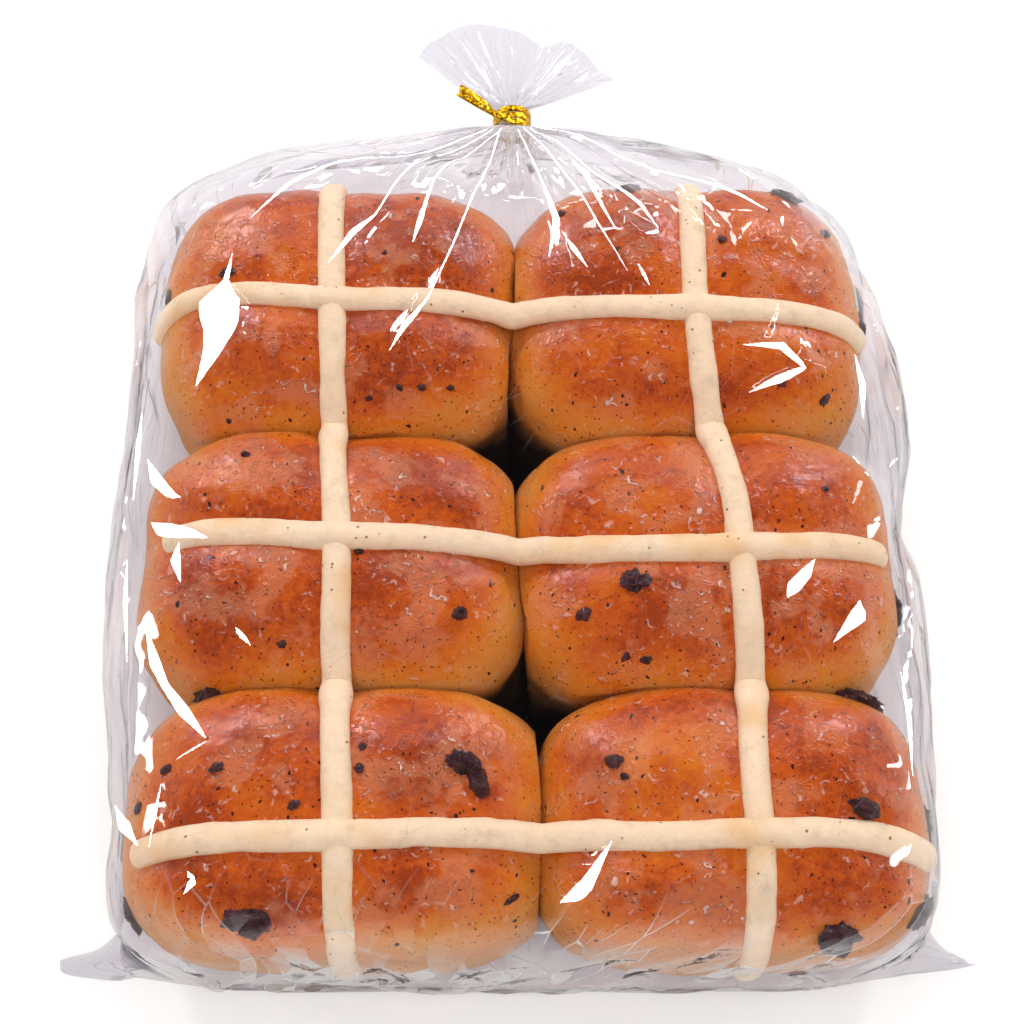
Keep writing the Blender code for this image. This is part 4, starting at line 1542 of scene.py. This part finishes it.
# Middle line as (x, y, half-width) in millimetres, and which back lamp it catches: -1 left, 1 right.
FACETS = [
    (
        [
            (-64.5, 71.0, 0.0), (-65.5, 63.0, 0.8), (-66.5, 57.5, 5.0), (-65.6, 51.0, 4.2),
            (-67.0, 45.0, 2.4), (-70.3, 36.0, 0.0),
        ],
        -1,
    ),
    (
        [
            (-3.0, 121.0, 0.08), (-7.0, 90.0, 0.2), (-18.8, 57.3, 0.17), (-23.5, 50.0, 0.9),
            (-27.3, 43.0, 0.0),
        ],
        -1,
    ),
    (
        [
            (-4.6, 121.0, 0.08), (-27.5, 87.2, 0.17), (-31.5, 80.0, 0.17), (-36.5, 75.5, 1.0),
            (-42.0, 67.0, 0.0),
        ],
        -1,
    ),
    ([(-2.5, 121.0, 0.1), (-18.0, 90.0, 0.17), (-21.6, 77.0, 0.7), (-22.8, 72.5, 0.0)], -1),
    ([(-6.6, 121.5, 0.1), (-38.0, 97.0, 0.2), (-52.0, 89.0, 0.5), (-61.0, 80.0, 0.0)], -1),
    ([(1.6, 121.0, 0.1), (7.0, 92.0, 0.17), (10.4, 79.0, 0.9), (8.4, 68.0, 0.0)], 1),
    ([(4.6, 120.9, 0.08), (20.0, 96.0, 0.2), (29.8, 84.0, 0.5), (34.0, 76.0, 0.0)], 1),
    ([(6.1, 122.0, 0.1), (34.0, 98.0, 0.2), (53.6, 87.5, 0.45), (60.0, 83.0, 0.0)], 1),
    ([(3.0, 121.0, 0.1), (12.0, 98.0, 0.17), (20.0, 78.0, 0.14), (26.5, 64.0, 0.0)], 1),
    ([(-80.0, 19.5, 0.0), (-77.5, 14.0, 1.3), (-73.5, 9.5, 0.9), (-71.5, 9.0, 0.0)], -1),
    ([(-77.5, 3.5, 0.0), (-74.5, 1.5, 2.0), (-69.0, 0.0, 1.3), (-64.5, -1.5, 0.0)], -1),
    ([(-70.8, -2.0, 0.0), (-71.2, -6.0, 1.1), (-69.6, -11.5, 0.0)], -1),
    ([(19.4, -67.5, 0.0), (14.2, -76.3, 1.3), (12.4, -78.0, 1.5), (9.1, -79.6, 0.0)], 1),
    (
        [(51.7, 45.4, 0.0), (60.5, 45.2, 1.2), (65.3, 40.2, 0.5), (58.9, 36.3, 1.0), (52.2, 33.0, 0.0)],
        1,
    ),
    ([(63.8, -6.5, 0.0), (61.5, -10.0, 1.2), (58.5, -13.5, 1.4), (57.3, -15.5, 0.0)], 1),
    ([(72.6, -15.5, 0.0), (72.1, -19.0, 1.8), (66.2, -25.2, 0.0)], 1),
    (
        [(14.5, 101.0, 0.0), (17.0, 96.5, 1.2), (18.2, 91.0, 0.4), (21.5, 82.0, 0.3), (24.0, 76.0, 0.0)],
        1,
    ),
    ([(12.6, 74.0, 0.0), (14.2, 71.0, 0.8), (17.2, 65.6, 0.0)], 1),
    ([(28.8, 66.5, 0.0), (30.0, 63.5, 0.5), (31.2, 60.6, 0.0)], 1),
    ([(77.5, 46.0, 0.0), (78.6, 38.0, 0.8), (77.8, 29.0, 0.0)], 1),
    ([(80.5, -30.0, 0.0), (81.5, -40.0, 0.5), (81.0, -52.0, 0.0)], 1),
    (
        [
            (-76.5, -20.5, 0.0), (-73.8, -28.5, 1.1), (-71.0, -34.0, 0.7), (-66.5, -39.8, 1.2),
            (-61.3, -46.0, 0.0),
        ],
        -1,
    ),
    ([(-61.3, -46.5, 0.0), (-64.0, -48.0, 0.2), (-67.2, -49.8, 0.0)], -1),
    ([(-80.5, -57.0, 0.0), (-77.5, -62.0, 1.2), (-74.0, -66.5, 0.0)], -1),
    ([(-70.0, -54.5, 0.0), (-70.8, -60.0, 0.3), (-71.5, -67.0, 0.0)], -1),
    ([(-63.0, -72.5, 0.0), (-61.8, -74.5, 1.0), (-63.5, -77.0, 0.0)], -1),
    ([(-57.0, -22.5, 0.0), (-55.6, -24.2, 0.6), (-53.5, -26.5, 0.0)], -1),
    ([(-82.5, -4.0, 0.0), (-82.0, -14.0, 0.5), (-80.5, -27.0, 0.0)], -1),
    ([(-83.5, 34.0, 0.0), (-83.0, 24.0, 0.6), (-82.5, 10.0, 0.0)], -1),
]
VIEWER = np.array([0.0, -154.5, 374.0])
FACET_STEP = 1.5  # spacing of a strip's sections
FACET_LIFT = 0.25  # how far a strip lies over the film
BACK_LAMP = 1200.0 * np.array([0.5, 0.75, 0.43]) + (0.0, 0.0, 30.0)


def height_of_film(x, y):
    """Height of the film's upper side, from the nearest corner of its grid."""
    above = film_normals[..., 2] > 0.2
    corners = film_points[above]
    away = (x[:, None] - corners[None, :, 0]) ** 2 + (y[:, None] - corners[None, :, 1]) ** 2
    return corners[np.argmin(away, axis=1), 2]


def facet_strip(middle_line, side):
    """Sections of a strip, four corners each, and the direction each section faces."""
    x, y, half = np.array(middle_line).T
    run = np.concatenate([[0.0], np.cumsum(np.hypot(np.diff(x), np.diff(y)))])
    at = np.linspace(0.0, run[-1], int(run[-1] / FACET_STEP) + 2)
    x, y, half = np.interp(at, run, x), np.interp(at, run, y), np.interp(at, run, half) + 0.02
    z = height_of_film(x, y) + FACET_LIFT
    z = np.convolve(np.pad(z, 2, mode="edge"), np.full(5, 0.2), mode="valid")
    middle = np.stack([x, y, z], axis=-1)
    to_eye, to_lamp = VIEWER - middle, BACK_LAMP * (side, 1.0, 1.0) - middle
    facing = to_eye / np.linalg.norm(to_eye, axis=1)[:, None]
    facing = facing + to_lamp / np.linalg.norm(to_lamp, axis=1)[:, None]
    facing = facing / np.linalg.norm(facing, axis=1)[:, None]
    aside = np.cross(facing, np.gradient(middle, axis=0))
    aside *= half[:, None] / np.linalg.norm(aside, axis=1)[:, None]
    under = (0.0, 0.0, FILM_THICKNESS)
    one_side, other_side = middle + aside, middle - aside
    sections = np.stack([one_side, other_side, other_side - under, one_side - under], axis=1)
    return sections, np.stack([facing, facing, -facing, -facing], axis=1)


def make_facets():
    """All the strips as one mesh, each closed at its ends by a quad."""
    corners, directions, faces, start = [], [], [], 0
    for middle_line, side in FACETS:
        sections, facing = facet_strip(middle_line, side)
        count = len(sections)
        faces += (grid_faces(count, 4) + start).tolist()
        last = start + 4 * (count - 1)
        faces += [[start + 1, start, start + 3, start + 2], [last, last + 1, last + 2, last + 3]]
        corners.append(sections.reshape(-1, 3))
        directions.append(facing.reshape(-1, 3))
        start += 4 * count
    piece = mesh_piece("film_bright_facets", np.concatenate(corners), faces, clear_film)
    piece.data.normals_split_custom_set_from_vertices(np.concatenate(directions).tolist())
    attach(piece, "root")
    print(piece.name, "has", len(FACETS), "strips and", len(faces), "faces")


make_facets()

# %% [markdown]
# ## Camera, floor and light
#
# The bag lies on a white table and the camera looks down on it from the sealed end. Two soft boxes stand
# behind it to the left and the right, a long one between them, and a narrow strip on each side. A wide one
# overhead fills the shadows and doesn't show in gloss. Nothing bright hangs where a flat film top would
# mirror it towards the camera, so the crust keeps its colour through the film and only folds flash.
#
# A real studio would hang black cloth overhead for that. Here the world is a white cove that turns dark
# towards the top, for gloss only.

# %% Studio

CAMERA_RISE = math.radians(64.0)
CAMERA_DISTANCE = 364.95
SENSOR_WIDTH, FOCAL_LENGTH = 36.0, 59.75
AIM = np.array([0.0, 5.46, CROWN])


def make_camera():
    """A camera at the end of a line that rises from the aim towards the sealed end."""
    data = bpy.data.cameras.new("camera")
    data.sensor_width, data.lens = SENSOR_WIDTH, FOCAL_LENGTH
    data.clip_start = 0.01
    camera = bpy.data.objects.new("camera", data)
    back = np.array([0.0, -math.cos(CAMERA_RISE), math.sin(CAMERA_RISE)])
    camera.location = (AIM + CAMERA_DISTANCE * back) * MM
    camera.rotation_euler.x = math.pi / 2.0 - CAMERA_RISE
    bpy.context.scene.collection.objects.link(camera)
    bpy.context.scene.camera = camera


def soft_box(name, direction, distance, size, radiance, mirrored=True):
    """A rectangular light in metres, aimed at the bag, with this brightness per unit of its face.

    A light that isn't mirrored lights the bag but doesn't show in gloss.
    """
    data = bpy.data.lights.new(name, "AREA")
    data.shape = "RECTANGLE"
    data.size, data.size_y = size
    data.energy = radiance * size[0] * size[1] * math.pi
    lamp = bpy.data.objects.new(name, data)
    towards = Vector(direction).normalized()
    lamp.location = Vector((0.0, 0.0, 0.03)) + towards * distance
    lamp.rotation_euler = towards.to_track_quat("Z", "Y").to_euler()
    lamp.visible_glossy = mirrored
    bpy.context.scene.collection.objects.link(lamp)


def make_floor():
    """A white matt table top. In gloss it shows darker, as a lit patch in a dim room would."""
    material, tree, output = blank_material("white_table_top")
    in_gloss = add(tree, "ShaderNodeLightPath").outputs["Is Glossy Ray"]
    white = blend(tree, in_gloss, srgb("#f4f4f4"), srgb("#d4d4d4"))
    finish_with(tree, output, {"Base Color": white, "Roughness": 0.8, "Specular IOR Level": 0.1})
    side = 1.0
    mesh = bpy.data.meshes.new("table_top")
    corners = [(-side, -side, 0.0), (side, -side, 0.0), (side, side, 0.0), (-side, side, 0.0)]
    mesh.from_pydata(corners, [], [(0, 1, 2, 3)])
    mesh.materials.append(material)
    floor = bpy.data.objects.new("table_top", mesh)
    bpy.context.scene.collection.objects.link(floor)


def make_world():
    """White to the camera, soft to matt surfaces, and to gloss a white cove that is dark overhead."""
    world = bpy.data.worlds.new("studio")
    bpy.context.scene.world = world
    world.use_nodes = True
    tree = world.node_tree
    tree.nodes.clear()
    towards = add(tree, "ShaderNodeTexCoord").outputs["Generated"]
    height = add(tree, "ShaderNodeSeparateXYZ", {"Vector": towards}).outputs["Z"]
    fade = {"Value": height, "From Min": 0.2, "From Max": 0.6, "To Min": 0.75, "To Max": 0.03}
    cove = add(tree, "ShaderNodeMapRange", fade).outputs["Result"]
    path = add(tree, "ShaderNodeLightPath")
    matt = add(
        tree, "ShaderNodeMix", {"Factor": path.outputs["Is Diffuse Ray"], 2: cove, 3: 0.5}, data_type="FLOAT"
    ).outputs[0]
    strength = add(
        tree, "ShaderNodeMix", {"Factor": path.outputs["Is Camera Ray"], 2: matt, 3: 1.0}, data_type="FLOAT"
    ).outputs[0]
    sky = add(tree, "ShaderNodeBackground", {"Color": srgb("#ffffff"), "Strength": strength})
    output = add(tree, "ShaderNodeOutputWorld")
    tree.links.new(sky.outputs[0], output.inputs["Surface"])


make_camera()
make_floor()
make_world()
soft_box("strip_left", (-0.85, 0.2, 0.42), 1.1, (0.05, 0.4), 12.0)
soft_box("strip_right", (0.85, 0.2, 0.42), 1.1, (0.05, 0.4), 12.0)
soft_box("soft_box_back_left", (-0.5, 0.75, 0.43), 1.2, (0.22, 0.22), 34.0)
soft_box("soft_box_back_right", (0.5, 0.75, 0.43), 1.2, (0.22, 0.22), 34.0)
soft_box("soft_box_back", (0.0, 0.79, 0.62), 1.3, (0.7, 0.08), 8.0)
soft_box("overhead_fill", (0.0, -0.45, 1.0), 1.6, (1.3, 1.3), 3.1, mirrored=False)

scene = bpy.context.scene
scene.view_settings.view_transform = "Standard"
scene.cycles.transparent_max_bounces = 64
scene.cycles.max_bounces = 4
scene.cycles.use_light_tree = False  # six lamps only: plain light sampling is quicker
scene.cycles.diffuse_bounces = 2
scene.cycles.glossy_bounces = 2

# %% Finish
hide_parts("bag")
